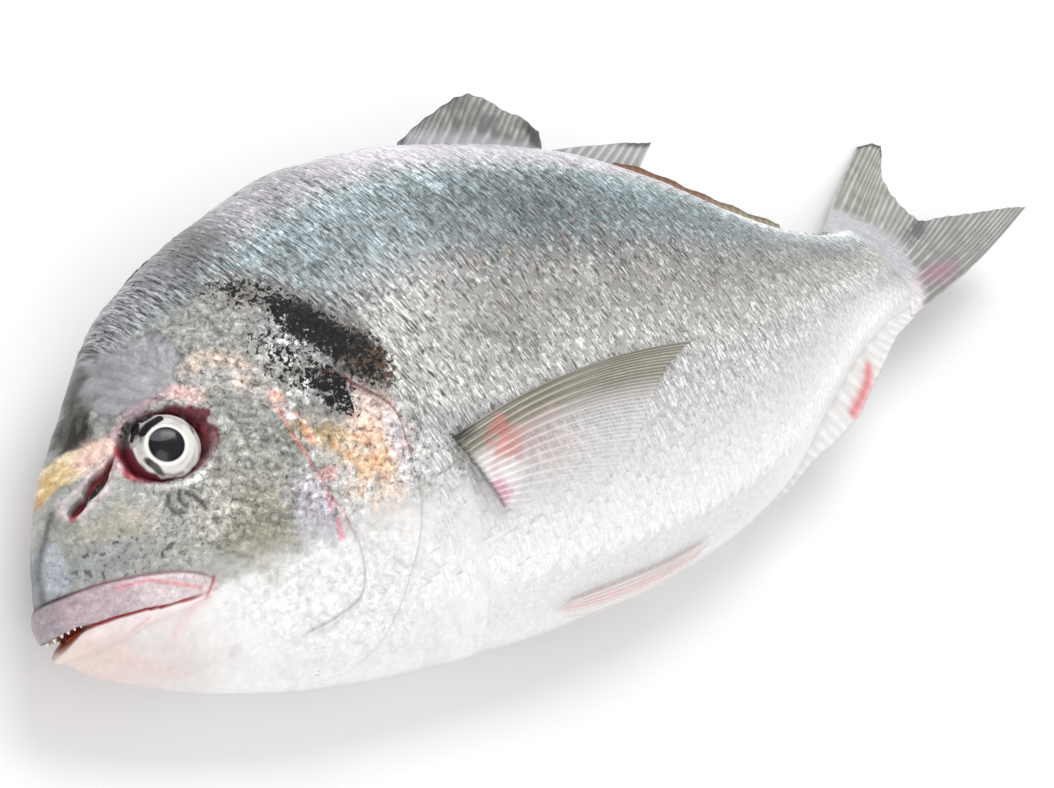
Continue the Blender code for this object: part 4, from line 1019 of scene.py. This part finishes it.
# Black strokes on the iris, each with its path and half width
EYE_STROKES = (
    (((-3.7, 2.2), (-2.6, 3.5), (-0.6, 4.9)), 0.62),
    (((-4.8, 2.7), (-4.5, 4.1)), 0.62),
    (((-4.0, 5.2), (-3.0, 6.2), (-1.4, 6.7)), 0.5),
    (((-3.5, 4.6), (-2.0, 5.5)), 0.24),
    (((-5.4, 1.2), (-5.1, 2.4)), 0.3),
)
for side, side_name in ((1, "left"), (-1, "right")):
    rings, spokes = (100, 180) if side > 0 else (60, 96)
    polar = np.linspace(0.0, 0.56, rings)[:, None] * math.pi
    around = (np.arange(spokes) * 2.0 * math.pi / spokes)[None, :]
    local_x = np.sin(polar) * np.cos(around)
    local_h = np.sin(polar) * np.sin(around)
    local_z = np.cos(polar) + 0.0 * around
    eye_x = np.array(EYE_PLACE[0])
    eye_angle = flank_angle(eye_x, np.array(EYE_PLACE[1]))
    centre = above_skin(eye_x, eye_angle, np.array(-EYE_SUNK))
    out = skin_normal(eye_x, eye_angle)
    tangent_x = np.array([1.0, 0.0, 0.0]) - out * out[0]
    tangent_x /= np.linalg.norm(tangent_x)
    tangent_h = np.cross(out, tangent_x)
    bulge = 0.12 * np.exp(-(np.hypot(local_x, local_h) / 0.42) ** 4)
    points = (centre + tangent_x * (local_x * 6.4)[..., None] + tangent_h * (local_h * 6.1)[..., None]
              + out * ((local_z + bulge) * EYE_DEPTH)[..., None])
    x, h = EYE_PLACE[0] + local_x * 6.4, EYE_PLACE[1] + local_h * 6.1
    # Across and up as the eye is seen in the picture, from the middle of the pupil
    turn = math.radians(17.0)
    u = (x - 26.0) * math.cos(turn) - (h - 3.0) * math.sin(turn)
    v = (x - 26.0) * math.sin(turn) + (h - 3.0) * math.cos(turn)
    pupil = np.hypot(u, v)
    swirl = np.degrees(np.arctan2(v, u))
    lines = mottle(pupil * 2.2, swirl * 0.03 + 20.0, 1.0, 72)
    coat = plain_coat(u, v, 222, 219, 215)
    dab, spot, line = coat.dab, coat.spot, coat.line
    dab(rise(0.5, 0.75, lines) * 0.5 * rise(3.4, 4.2, pupil), 150, 144, 142)
    dab(0.8 * line(((2.1, 6.0), (3.6, 5.2), (4.4, 3.8), (4.7, 2.4)), 0.3), 70, 64, 64)
    dab(0.7 * line(((-0.8, -4.7), (1.0, -4.9), (2.5, -4.4)), 0.25), 110, 92, 90)
    dab(spot((-2.1, -3.5), (1.5, 0.4), -44.0, 0.5, 1.0), 56, 46, 46)
    rim = np.hypot((u - 0.32) / 1.05, v - 0.3) + 0.5 * ripple(u, v, 1.1, 73)
    dab(rise(5.25, 5.7, rim), 66, 44, 46)
    dab(0.9 * rise(5.3, 5.9, rim) * rise(0.0, 2.5, -u - 2.2 * v - 2.0), 104, 34, 46)
    corner = bell(swirl, 142.0, 36.0, 4) * rise(3.5, 4.1, pupil)
    dab(0.95 * corner, 98, 92, 92)
    dab(0.85 * corner * rise(0.5, 0.6, mottle(pupil * 3.0, swirl * 0.05 + 20.0, 1.0, 74)), 190, 184, 182)
    for path, reach in EYE_STROKES:
        dab(fall(reach - 0.08, reach + 0.1, stroke_distance(u, v, path)), 2, 2, 2)
    dab(bell(pupil, 3.3, 0.22), 246, 246, 244)
    dab(fall(2.85, 3.1, pupil), 4, 4, 5)
    dab(0.7 * fall(2.2, 2.6, pupil), 24, 24, 29)
    # Painted reflection: a grey patch on the upper pupil
    dab(0.9 * spot((-0.6, 1.45), (2.1, 1.05), 8.0, 0.15), 88, 86, 90)
    points[..., 2] *= side
    faces = grid_faces(rings, spokes, closed=True)
    if side < 0:
        faces = [face[::-1] for face in faces]
    mesh_piece("eye_" + side_name, lie_down(points), faces, eye_material, coat.colour, np.zeros(x.shape),
               merge=True)


# Tail fin: a forked fan of bony rays with thin webs between them, its cut upper tip dark.
# The rays spring from the end of the trunk under small scales.
TAIL_RAYS = 17
TAIL_ROWS = 60
TAIL_STEPS = 12
TAIL_EDGE = (
    (0.0, 305.5, 36.1, 3.8),
    (0.12, 318.6, 33.1, 4.3),
    (0.27, 301.1, 21.6, 4.2),
    (0.42, 294.2, 8.8, 4.0),
    (0.5, 295.2, 4.3, 4.0),
    (0.63, 306.0, 0.3, 6.5),
    (0.8, 323.1, -7.6, 10.5),
    (1.0, 338.0, -13.7, 13.2),
)


def web_material(name, roughness, clear_low):
    material = skin_material(name, roughness, 0.3, 0.0, 0.1, 0.25)
    tree = material.node_tree
    set_shader(material, "Alpha", map_range(tree, read_mask(tree, "silver"), 0.0, 1.0, clear_low, 1.0))
    return material


# Closed sheet from the two faces of a fin, whose rows run from the root to the edge
def closed_fin(name, front, rear, tints, solid, material, streaky=None, side=1):
    rows, columns = front.shape[:2]
    loop, loop_tints, loop_solid = (np.concatenate([one, other[:, ::-1]], axis=1)
                                    for one, other in ((front, rear), (tints, tints), (solid, solid)))
    if streaky is not None:
        streaky = np.concatenate([streaky, streaky[:, ::-1]], axis=1)
    loop[..., 2] *= side
    faces = grid_faces(rows, 2 * columns, closed=True)
    order = np.arange(rows * 2 * columns).reshape(rows, 2 * columns)
    for row in (0, rows - 1):
        for k in range(columns - 1):
            faces.append([order[row, k], order[row, k + 1], order[row, -2 - k], order[row, -1 - k]])
    mesh_piece(name, lie_down(loop), faces, material, loop_tints, loop_solid, outwards=True,
               streaky=streaky)


def fin_piece(name, middle, half, tints, solid, material, streaky=None):
    spread = np.stack([0.0 * half, 0.0 * half, half], axis=-1)
    closed_fin(name, middle + spread, middle - spread, tints, solid, material, streaky)


def ray_ridges(phase, branches, out):
    main = 0.5 + 0.5 * np.cos(2.0 * math.pi * phase)
    fine = 0.5 + 0.5 * np.cos(2.0 * math.pi * phase * branches)
    split = rise(0.35, 0.75, out)
    return (main ** 3) * (1.0 - split) + (fine ** 2) * split


web = web_material("fin_webs", 0.4, 0.62)
add_glint_streaks(web, 0.8)
tail_edge = np.array(TAIL_EDGE)
across = np.linspace(0.0, 1.0, TAIL_RAYS * TAIL_STEPS + 1)[None, :]
out = np.linspace(0.0, 1.0, TAIL_ROWS)[:, None]
edge_x, edge_h, edge_z = (smooth_curve(tail_edge[:, 0], tail_edge[:, k])(across) for k in (1, 2, 3))
ray_phase = across * TAIL_RAYS
frayed = (-1.3 * (0.5 - 0.5 * np.cos(2.0 * math.pi * ray_phase))
          * (0.4 + 0.6 * mottle(ray_phase, 0.0 * ray_phase, 1.0, 81)))
root_x, root_h = 250.0 + 7.0 * across + 10.0 * np.sin(math.pi * across), 15.6 - 33.4 * across
reach = np.hypot(edge_x - root_x, edge_h - root_h)
stretch = 1.0 + frayed / reach
tail_x = root_x + (edge_x - root_x) * out * stretch
tail_h = root_h + (edge_h - root_h) * out * stretch + np.sin(math.pi * out) * (0.5 - 2.0 * across)
ridges = ray_ridges(ray_phase, 2.0, out)
waves = 0.5 * np.sin(2.0 * math.pi * (across * 2.3 + 0.2)) * out
tail_middle = np.stack([tail_x, tail_h, edge_z * out ** 1.4 + waves], axis=-1)
root_swell = 1.9 * np.sqrt(np.clip(1.0 - (2.0 * across - 1.0) ** 2, 0.02, 1.0)) * np.exp(-out / 0.22)
tail_half = 0.16 + 0.42 * ridges * (1.0 - 0.55 * out) * rise(0.1, 0.5, out) + root_swell
tail_coat = plain_coat(tail_x, tail_h, 142, 143, 140)
tail_coat.dab(0.8 * fall(0.3, 0.5, across) + 0.0 * out, 166, 165, 154)
tail_coat.dab(0.35 * rise(0.35, 0.7, tail_coat.cloud(3.0, 82)), 112, 112, 108)
ray_glow = 0.2 + 0.6 * tail_coat.cloud(4.0, 87)
tail_coat.dab(ridges * ray_glow, 222, 222, 218)
tail_coat.dab(0.9 * rise(0.95, 0.99, out) * fall(0.14, 0.2, across), 14, 14, 15)
tail_coat.dab(tail_coat.spot((302.0, 7.0), (3.0, 3.4), 0.0, 0.4, 0.9), 16, 16, 18)
tail_coat.dab(0.7 * tail_coat.spot((292.0, 2.4), (6.0, 2.2), 12.0, 0.6, 0.9), 56, 56, 60)
# Scaly root, bounded by an arc, with a pink bruise under it
root_arc = 280.0 - 0.035 * (tail_h - 4.0) ** 2
scaly = fall(root_arc - 5.0, root_arc + 3.0, tail_x + 3.0 * (tail_coat.cloud(1.8, 86) - 0.5))
tail_coat.dab(0.95 * scaly, 188, 189, 194)
tail_coat.dab(0.9 * scaly * fall(-15.0, -5.0, tail_h), 232, 226, 228)
tail_coat.dab(0.6 * tail_coat.spot((280.0, -12.4), (9.0, 3.2), -4.0, 0.8, 0.6), 178, 122, 146)
tail_solid = np.clip(0.35 + 0.65 * ridges + scaly, 0.0, 1.0)
fin_piece("tail_fin", tail_middle, tail_half, tail_coat.colour, tail_solid, web, streaky=0.35 * scaly)


# Back fin: a stiff front lobe of spines and soft rays, laid back, then a folded strip and a free rear tip.
# Its webs are grey and olive with pale rays, the folded strip is brown and red.
def standing_rays(foot_x, foot_h, top_x, top_h, rows, lean, curl):
    share = np.linspace(0.0, 1.0, rows)[:, None]
    x = foot_x[None, :] + (top_x - foot_x)[None, :] * share
    h = foot_h[None, :] + (top_h - foot_h)[None, :] * share
    wave = curl * np.sin(foot_x[None, :] * 0.55) * share
    return np.stack([x, h, lean * share ** 1.5 + wave], axis=-1), share


def back_height(x):
    return section(np.asarray(x, dtype=float))[0]


def belly_height(x):
    return section(np.asarray(x, dtype=float))[1]


FIN_FOOT_DEPTH = 2.5
lobe_rays = 11
lobe_share = np.linspace(0.0, 1.0, lobe_rays * 10 + 1)
lobe_foot_x = 104.0 + 42.0 * lobe_share
lobe_top_x = np.interp(lobe_share, (0.0, 0.45, 0.7, 1.0), (107.0, 131.0, 139.5, 148.2))
lobe_rise = np.interp(lobe_share, (0.0, 0.15, 0.36, 0.45, 0.55, 0.7, 0.85, 1.0),
                      (1.2, 6.0, 11.5, 13.1, 12.1, 9.9, 8.6, 5.7))
lobe_points = 0.5 + 0.5 * np.cos(2.0 * math.pi * lobe_share * lobe_rays)
lobe_rise -= 0.25 * (1.0 - lobe_points)
lobe, lobe_out = standing_rays(lobe_foot_x, back_height(lobe_foot_x) - FIN_FOOT_DEPTH, lobe_top_x,
                               back_height(lobe_top_x) + lobe_rise, 26, 0.2, 0.25)
lobe_ridges = ray_ridges(lobe_share[None, :] * lobe_rays - 1.5 * lobe_out, 2.0, lobe_out)
lobe_half = 0.14 + 0.3 * lobe_ridges * (1.0 - 0.6 * lobe_out) + 0.5 * np.exp(-lobe_out / 0.12)
lobe_coat = plain_coat(lobe[..., 0], lobe[..., 1], 128, 129, 126)
lobe_glow = 0.1 + 0.6 * lobe_coat.cloud(3.4, 88)
lobe_coat.dab(lobe_ridges * lobe_glow, 212, 211, 206)
lobe_coat.dab(0.4 * rise(0.4, 0.7, lobe_coat.cloud(2.0, 83)), 70, 70, 68)
lobe_sheath = fall(1.5, 5.0, lobe[..., 1] - back_height(lobe[..., 0]) + 0.06 * (lobe[..., 0] - 118.0))
lobe_coat.dab(0.8 * lobe_sheath, 186, 187, 192)
lobe_rim = rise(0.93, 1.0, lobe_out) * fall(0.35, 0.5, lobe_share)[None, :]
lobe_coat.dab(0.8 * lobe_rim, 38, 38, 38)
lobe_coat.dab(0.8 * lobe_coat.spot((106.5, 57.5), (3.2, 2.2), 20.0, 0.5, 0.5), 36, 36, 34)
lobe_coat.dab(0.8 * lobe_coat.spot((146.0, 54.5), (2.4, 3.0), 0.0, 0.5, 0.7), 44, 42, 42)
fin_piece("back_fin_front", lobe, lobe_half, lobe_coat.colour, np.clip(0.5 + 0.5 * lobe_ridges, 0.0, 1.0),
          web)

rear_rays = 9
rear_share = np.linspace(0.0, 1.0, rear_rays * 9 + 1)
rear_foot_x = 147.5 + 25.0 * rear_share
rear_top_x = 150.0 + 39.0 * rear_share ** 0.8
rear_top_h = 50.6 - 0.8 * rear_share ** 3
rear, rear_out = standing_rays(rear_foot_x, back_height(rear_foot_x) - FIN_FOOT_DEPTH, rear_top_x,
                               rear_top_h, 24, 0.2, 0.2)
rear_ridges = ray_ridges(rear_share[None, :] * rear_rays + 0.0 * rear_out, 1.0, rear_out)
rear_half = 0.16 + 0.45 * rear_ridges * (1.0 - 0.5 * rear_out) + 0.5 * np.exp(-rear_out / 0.12)
rear_coat = plain_coat(rear[..., 0], rear[..., 1], 164, 165, 168)
rear_coat.dab(0.6 * rear_ridges, 226, 224, 220)
rear_coat.dab(0.7 * fall(40.0, 47.0, rear[..., 1]), 168, 140, 126)
rear_coat.dab(0.85 * rise(0.8, 0.97, rear_out) * rise(0.45, 0.8, rear_share)[None, :], 34, 34, 36)
fin_piece("back_fin_rear", rear, rear_half, rear_coat.colour, np.clip(0.6 + 0.4 * rear_ridges, 0.0, 1.0),
          web)

fold_share = np.linspace(0.0, 1.0, 161)
fold_foot_x = 166.0 + 60.0 * fold_share
fold_top_x = fold_foot_x + 3.0
fold_rise = 4.1 * np.sin(math.pi * np.clip((fold_top_x - 163.0) / 74.0, 0.0, 1.0)) ** 0.5
fold_rise += 0.04 * np.sin(fold_foot_x * 2.4) + 0.3 * ripple(fold_foot_x, 0.0 * fold_foot_x, 3.0, 84)
fold, fold_out = standing_rays(fold_foot_x, back_height(fold_foot_x) - FIN_FOOT_DEPTH, fold_top_x,
                               back_height(fold_top_x) + fold_rise, 16, 0.6, 0.3)
fold_ridges = (0.5 + 0.5 * np.cos(2.0 * math.pi * (fold_share[None, :] * 24.0 + 0.4 * fold_out))) ** 2
fold_half = 0.4 + 0.05 * fold_ridges + 0.5 * (1.0 - fold_out)
fold_coat = plain_coat(fold[..., 0], fold[..., 1], 150, 136, 114)
fold_coat.dab(0.3 * fold_ridges, 206, 196, 180)
fold_coat.dab(0.75 * fall(190.0, 214.0, fold[..., 0]), 150, 88, 58)
fold_coat.dab(0.7 * rise(0.75, 1.0, fold_out) + 0.0 * fold_ridges, 64, 54, 42)
fin_piece("back_fin_folded", fold, fold_half, fold_coat.colour, np.clip(0.7 + 0.3 * fold_ridges, 0.0, 1.0),
          web)


# Anal fin: soft rays folded back along the rear belly, pale with a pink edge.
anal_rays = 14
anal_share = np.linspace(0.0, 1.0, anal_rays * 9 + 1)
anal_foot_x = 162.0 + 94.0 * anal_share
anal_top_x = 164.0 + 101.0 * anal_share
anal_drop = np.interp(anal_top_x, (164.0, 172.0, 190.0, 200.0, 215.0, 230.0, 246.0, 257.0, 265.0),
                      (0.3, 0.6, 3.0, 6.2, 9.0, 7.0, 3.8, 2.5, 0.8))
anal_drop -= 0.12 * (0.5 - 0.5 * np.cos(2.0 * math.pi * anal_share * anal_rays))
anal, anal_out = standing_rays(anal_foot_x, belly_height(anal_foot_x) + FIN_FOOT_DEPTH, anal_top_x,
                               belly_height(anal_top_x) - anal_drop, 24, -0.6, 0.08)
anal_ridges = ray_ridges(anal_share[None, :] * anal_rays + 0.0 * anal_out, 2.0, anal_out)
anal_half = 0.18 + 0.05 * anal_ridges * (1.0 - 0.6 * anal_out) + 1.8 * np.exp(-anal_out / 0.28)
anal_coat = plain_coat(anal[..., 0], anal[..., 1], 232, 231, 230)
anal_coat.dab(0.25 * anal_ridges, 242, 240, 238)
anal_mark = anal_coat.line(((227.0, -23.0), (223.0, -26.4), (218.0, -28.8), (212.0, -31.0)), 1.7)
anal_coat.dab(0.85 * anal_mark, 222, 116, 120)
fin_piece("anal_fin", anal, anal_half, anal_coat.colour, np.clip(0.55 + 0.45 * anal_ridges, 0.0, 1.0), web)


# Breast fins: long soft fans folded back on each flank behind the gill cover, with olive leading rays.
# The lower webs are so thin that the scales show through them.
BREAST_EDGE = (
    (0.0, 145.6, -3.5),
    (0.15, 135.8, -6.4),
    (0.35, 128.3, -11.6),
    (0.6, 119.6, -19.0),
    (0.8, 108.6, -24.5),
    (0.93, 97.1, -25.8),
    (1.0, 90.0, -26.0),
)
breast_web = web_material("thin_webs", 0.36, 0.04)
breast_rays = 14
breast_edge = np.array(BREAST_EDGE)
for side, side_name in ((1, "left"), (-1, "right")):
    across = np.linspace(0.0, 1.0, breast_rays * 12 + 1)[None, :]
    out = np.linspace(0.0, 1.0, 70)[:, None]
    tip_x, tip_h = (smooth_curve(breast_edge[:, 0], breast_edge[:, k])(across) for k in (1, 2))
    foot_x, foot_h = 76.0 + 7.5 * across, -9.2 - 14.6 * across
    notch = 1.0 - 0.012 * (0.5 - 0.5 * np.cos(2.0 * math.pi * across * breast_rays))
    x = foot_x + (tip_x - foot_x) * out * notch
    h = foot_h + (tip_h - foot_h) * out * notch + 3.3 * (1.0 - across) * 4.0 * out * (1.0 - out)
    ridges = ray_ridges(across * breast_rays + 0.0 * out, 3.0, out)
    lead = fall(0.2, 0.42, across)
    lift = (0.85 + 0.5 * (1.0 - across)
            + 2.0 * bell(out, 0.12, 0.13) * np.sin(math.pi * np.clip(across, 0.02, 0.98)) ** 0.5)
    angle = flank_angle(x, h)
    sheet = above_skin(x, angle, lift)
    outward = skin_normal(x, angle)
    half = 0.1 + (0.2 + 0.3 * lead) * ridges * (1.0 - 0.5 * out) + 0.5 * np.exp(-out / 0.06)
    coat = plain_coat(x, h, 236, 233, 232)
    coat.dab(0.9 * lead, 104, 100, 84)
    mask = (lead * (0.45 + 0.5 * mottle(20.0 * across + 0.0 * out, 6.0 * out + 0.0 * across, 1.0, 85))
            * ridges)
    coat.dab(mask, 206, 202, 188)
    mask = (1.0 - lead) * 0.4 * (1.0 - ridges) * fall(0.3, 0.7, out) * fall(0.3, 0.7, across)
    coat.dab(mask, 176, 168, 154)
    coat.dab(0.85 * coat.spot((75.5, -8.8), (4.4, 1.5), 0.0, 0.5, 0.6), 44, 38, 34)
    coat.dab(0.7 * coat.spot((86.5, -13.0), (4.5, 3.4), -20.0, 0.5, 0.8), 206, 112, 108)
    coat.dab(0.5 * coat.spot((95.0, -14.5), (7.0, 4.5), -12.0, 0.6, 0.6), 236, 190, 186)
    coat.dab(0.7 * coat.spot((82.0, -21.0), (2.6, 3.0), 0.0, 0.5, 0.7), 206, 120, 160)
    coat.dab((1.0 - lead) * 0.5 * ridges, 244, 240, 240)
    root = fall(0.05, 0.3, out)
    fading = 1.0 - rise(0.5, 1.0, across) * rise(0.2, 0.8, out)
    solid = np.clip(0.9 * lead + (0.06 + 0.34 * ridges) * fading + 0.8 * root, 0.0, 1.0)
    swell = outward * half[..., None]
    closed_fin("breast_fin_" + side_name, sheet + swell, sheet - swell, coat.colour, solid, breast_web,
               side=side)


# Pelvic fins: folded fans along the lower belly, white and pink with an orange edge.
pelvic_rays = 7
for side, side_name in ((1, "left"), (-1, "right")):
    across = np.linspace(0.0, 1.0, pelvic_rays * 12 + 1)[None, :]
    out = np.linspace(0.0, 1.0, 60)[:, None]
    x = 94.5 + (48.0 - 9.0 * across) * out
    turn = -64.0 - 16.0 * (0.35 + 0.65 * np.sin(math.pi * np.minimum(0.8 * out, 1.0))) * across
    angle = np.radians(turn)
    ridges = ray_ridges(across * pelvic_rays + 0.0 * out, 2.0, out)
    sheet = above_skin(x, angle, 0.62 - 0.2 * out + 0.0 * across)
    outward = skin_normal(x, angle)
    half = 0.08 + 0.12 * ridges * (1.0 - 0.5 * out) + 0.3 * np.exp(-out / 0.08)
    coat = plain_coat(x, sheet[..., 1], 244, 238, 236)
    coat.dab(0.2 * fall(0.0, 0.3, across) * rise(0.1, 0.3, out), 240, 204, 184)
    coat.dab(0.6 * bell(across, 0.45, 0.2) + 0.0 * out, 236, 190, 190)
    coat.dab(0.4 * ridges, 248, 246, 244)
    solid = 0.3 + 0.3 * ridges + 0.3 * bell(across, 0.45, 0.25)
    solid = np.clip(solid * rise(0.0, 0.14, across) * rise(0.0, 0.15, out), 0.0, 1.0)
    swell = outward * half[..., None]
    closed_fin("pelvic_fin_" + side_name, sheet + swell, sheet - swell, coat.colour, solid, breast_web,
               side=side)


# Teeth: blunt ivory cones set in a row in the gum of the upper jaw.
teeth_material = skin_material("ivory_teeth", 0.3, 0.3, 0.0, 0.08, 0.1)
tooth_points, tooth_faces = [], []
for side in (1, -1):
    for k in range(5):
        tooth_x = 0.5 + 1.05 * k
        tooth_h = float(mouth_line(tooth_x)) + float(mouth_gape(tooth_x)) * 1.25
        angle = flank_angle(np.array(tooth_x), np.array(tooth_h))
        root = above_skin(np.array(tooth_x), angle, np.array(-0.3))
        size = (1.0, 1.0, 0.9, 0.75, 0.6)[k]
        first = len(tooth_points)
        for ring in range(5):
            spread = size * 0.55 * (1.0 - 0.2 * ring)
            for spoke in range(8):
                turn = spoke * math.pi / 4.0
                tooth_points.append((root[0] + 1.7 * math.exp(-tooth_x / 4.0) + spread * math.cos(turn),
                                     root[1] - ring * size * 0.2,
                                     (root[2] + 0.7 * spread * math.sin(turn)) * side))
        for ring in range(4):
            for spoke in range(8):
                a = first + ring * 8 + spoke
                b = first + ring * 8 + (spoke + 1) % 8
                tooth_faces.append([a, b, b + 8, a + 8])
        tooth_faces.append([first + 32 + spoke for spoke in range(8)])
        tooth_faces.append([first + 7 - spoke for spoke in range(8)])
tooth_points = np.array(tooth_points)
mesh_piece("teeth", lie_down(tooth_points), tooth_faces, teeth_material,
           np.ones(tooth_points.shape) * pigment(240, 234, 220), np.zeros(len(tooth_points)), outwards=True)


# Floor, lights and camera of the picture
floor_mesh = bpy.data.meshes.new("floor")
floor_mesh.from_pydata([(-3.0, -3.0, 0.0), (3.0, -3.0, 0.0), (3.0, 3.0, 0.0), (-3.0, 3.0, 0.0)], [],
                       [(0, 1, 2, 3)])
floor_material = bpy.data.materials.new("pale_floor")
floor_material.use_nodes = True
floor_shader = floor_material.node_tree.nodes["Principled BSDF"]
floor_shader.inputs["Base Color"].default_value = (0.9, 0.9, 0.9, 1.0)
floor_shader.inputs["Roughness"].default_value = 0.6
floor_mesh.materials.append(floor_material)
floor = bpy.data.objects.new("floor", floor_mesh)
bpy.context.scene.collection.objects.link(floor)

world = bpy.data.worlds.new("studio")
bpy.context.scene.world = world
world.use_nodes = True
world.node_tree.nodes["Background"].inputs["Color"].default_value = (1.0, 1.0, 1.0, 1.0)
world.node_tree.nodes["Background"].inputs["Strength"].default_value = 0.62


def soft_light(name, place, target, size, power):
    data = bpy.data.lights.new(name, "AREA")
    data.shape = "RECTANGLE"
    data.size = size[0]
    data.size_y = size[1]
    data.energy = power
    lamp = bpy.data.objects.new(name, data)
    lamp.location = place
    aim = Vector(target) - Vector(place)
    lamp.rotation_euler = aim.to_track_quat("-Z", "Y").to_euler()
    bpy.context.scene.collection.objects.link(lamp)


soft_light("high_window", (0.15, 0.5, 0.8), (0.0, 0.0, 0.0), (0.7, 0.5), 5.0)
soft_light("low_front", (-0.15, -0.8, 0.4), (0.0, 0.0, 0.02), (0.9, 0.4), 1.2)
soft_light("near_fill", (-0.55, -0.45, 0.6), (-0.05, 0.0, 0.0), (0.5, 0.5), 2.0)

camera_data = bpy.data.cameras.new("camera")
camera_data.lens = 55.94
camera_data.sensor_width = 36.0
camera = bpy.data.objects.new("camera", camera_data)
camera_right = Vector((0.71384, -0.44182, 0.54335))
camera_up = Vector((0.17694, 0.86448, 0.47049))
camera_forward = Vector((0.67759, 0.23971, -0.69528))
camera_turn = Matrix((camera_right, camera_up, -camera_forward)).transposed()
camera.matrix_world = Matrix.Translation(Vector((-0.28230, -0.09057, 0.25525))) @ camera_turn.to_4x4()
bpy.context.scene.collection.objects.link(camera)
bpy.context.scene.camera = camera
bpy.context.scene.view_settings.view_transform = "Standard"
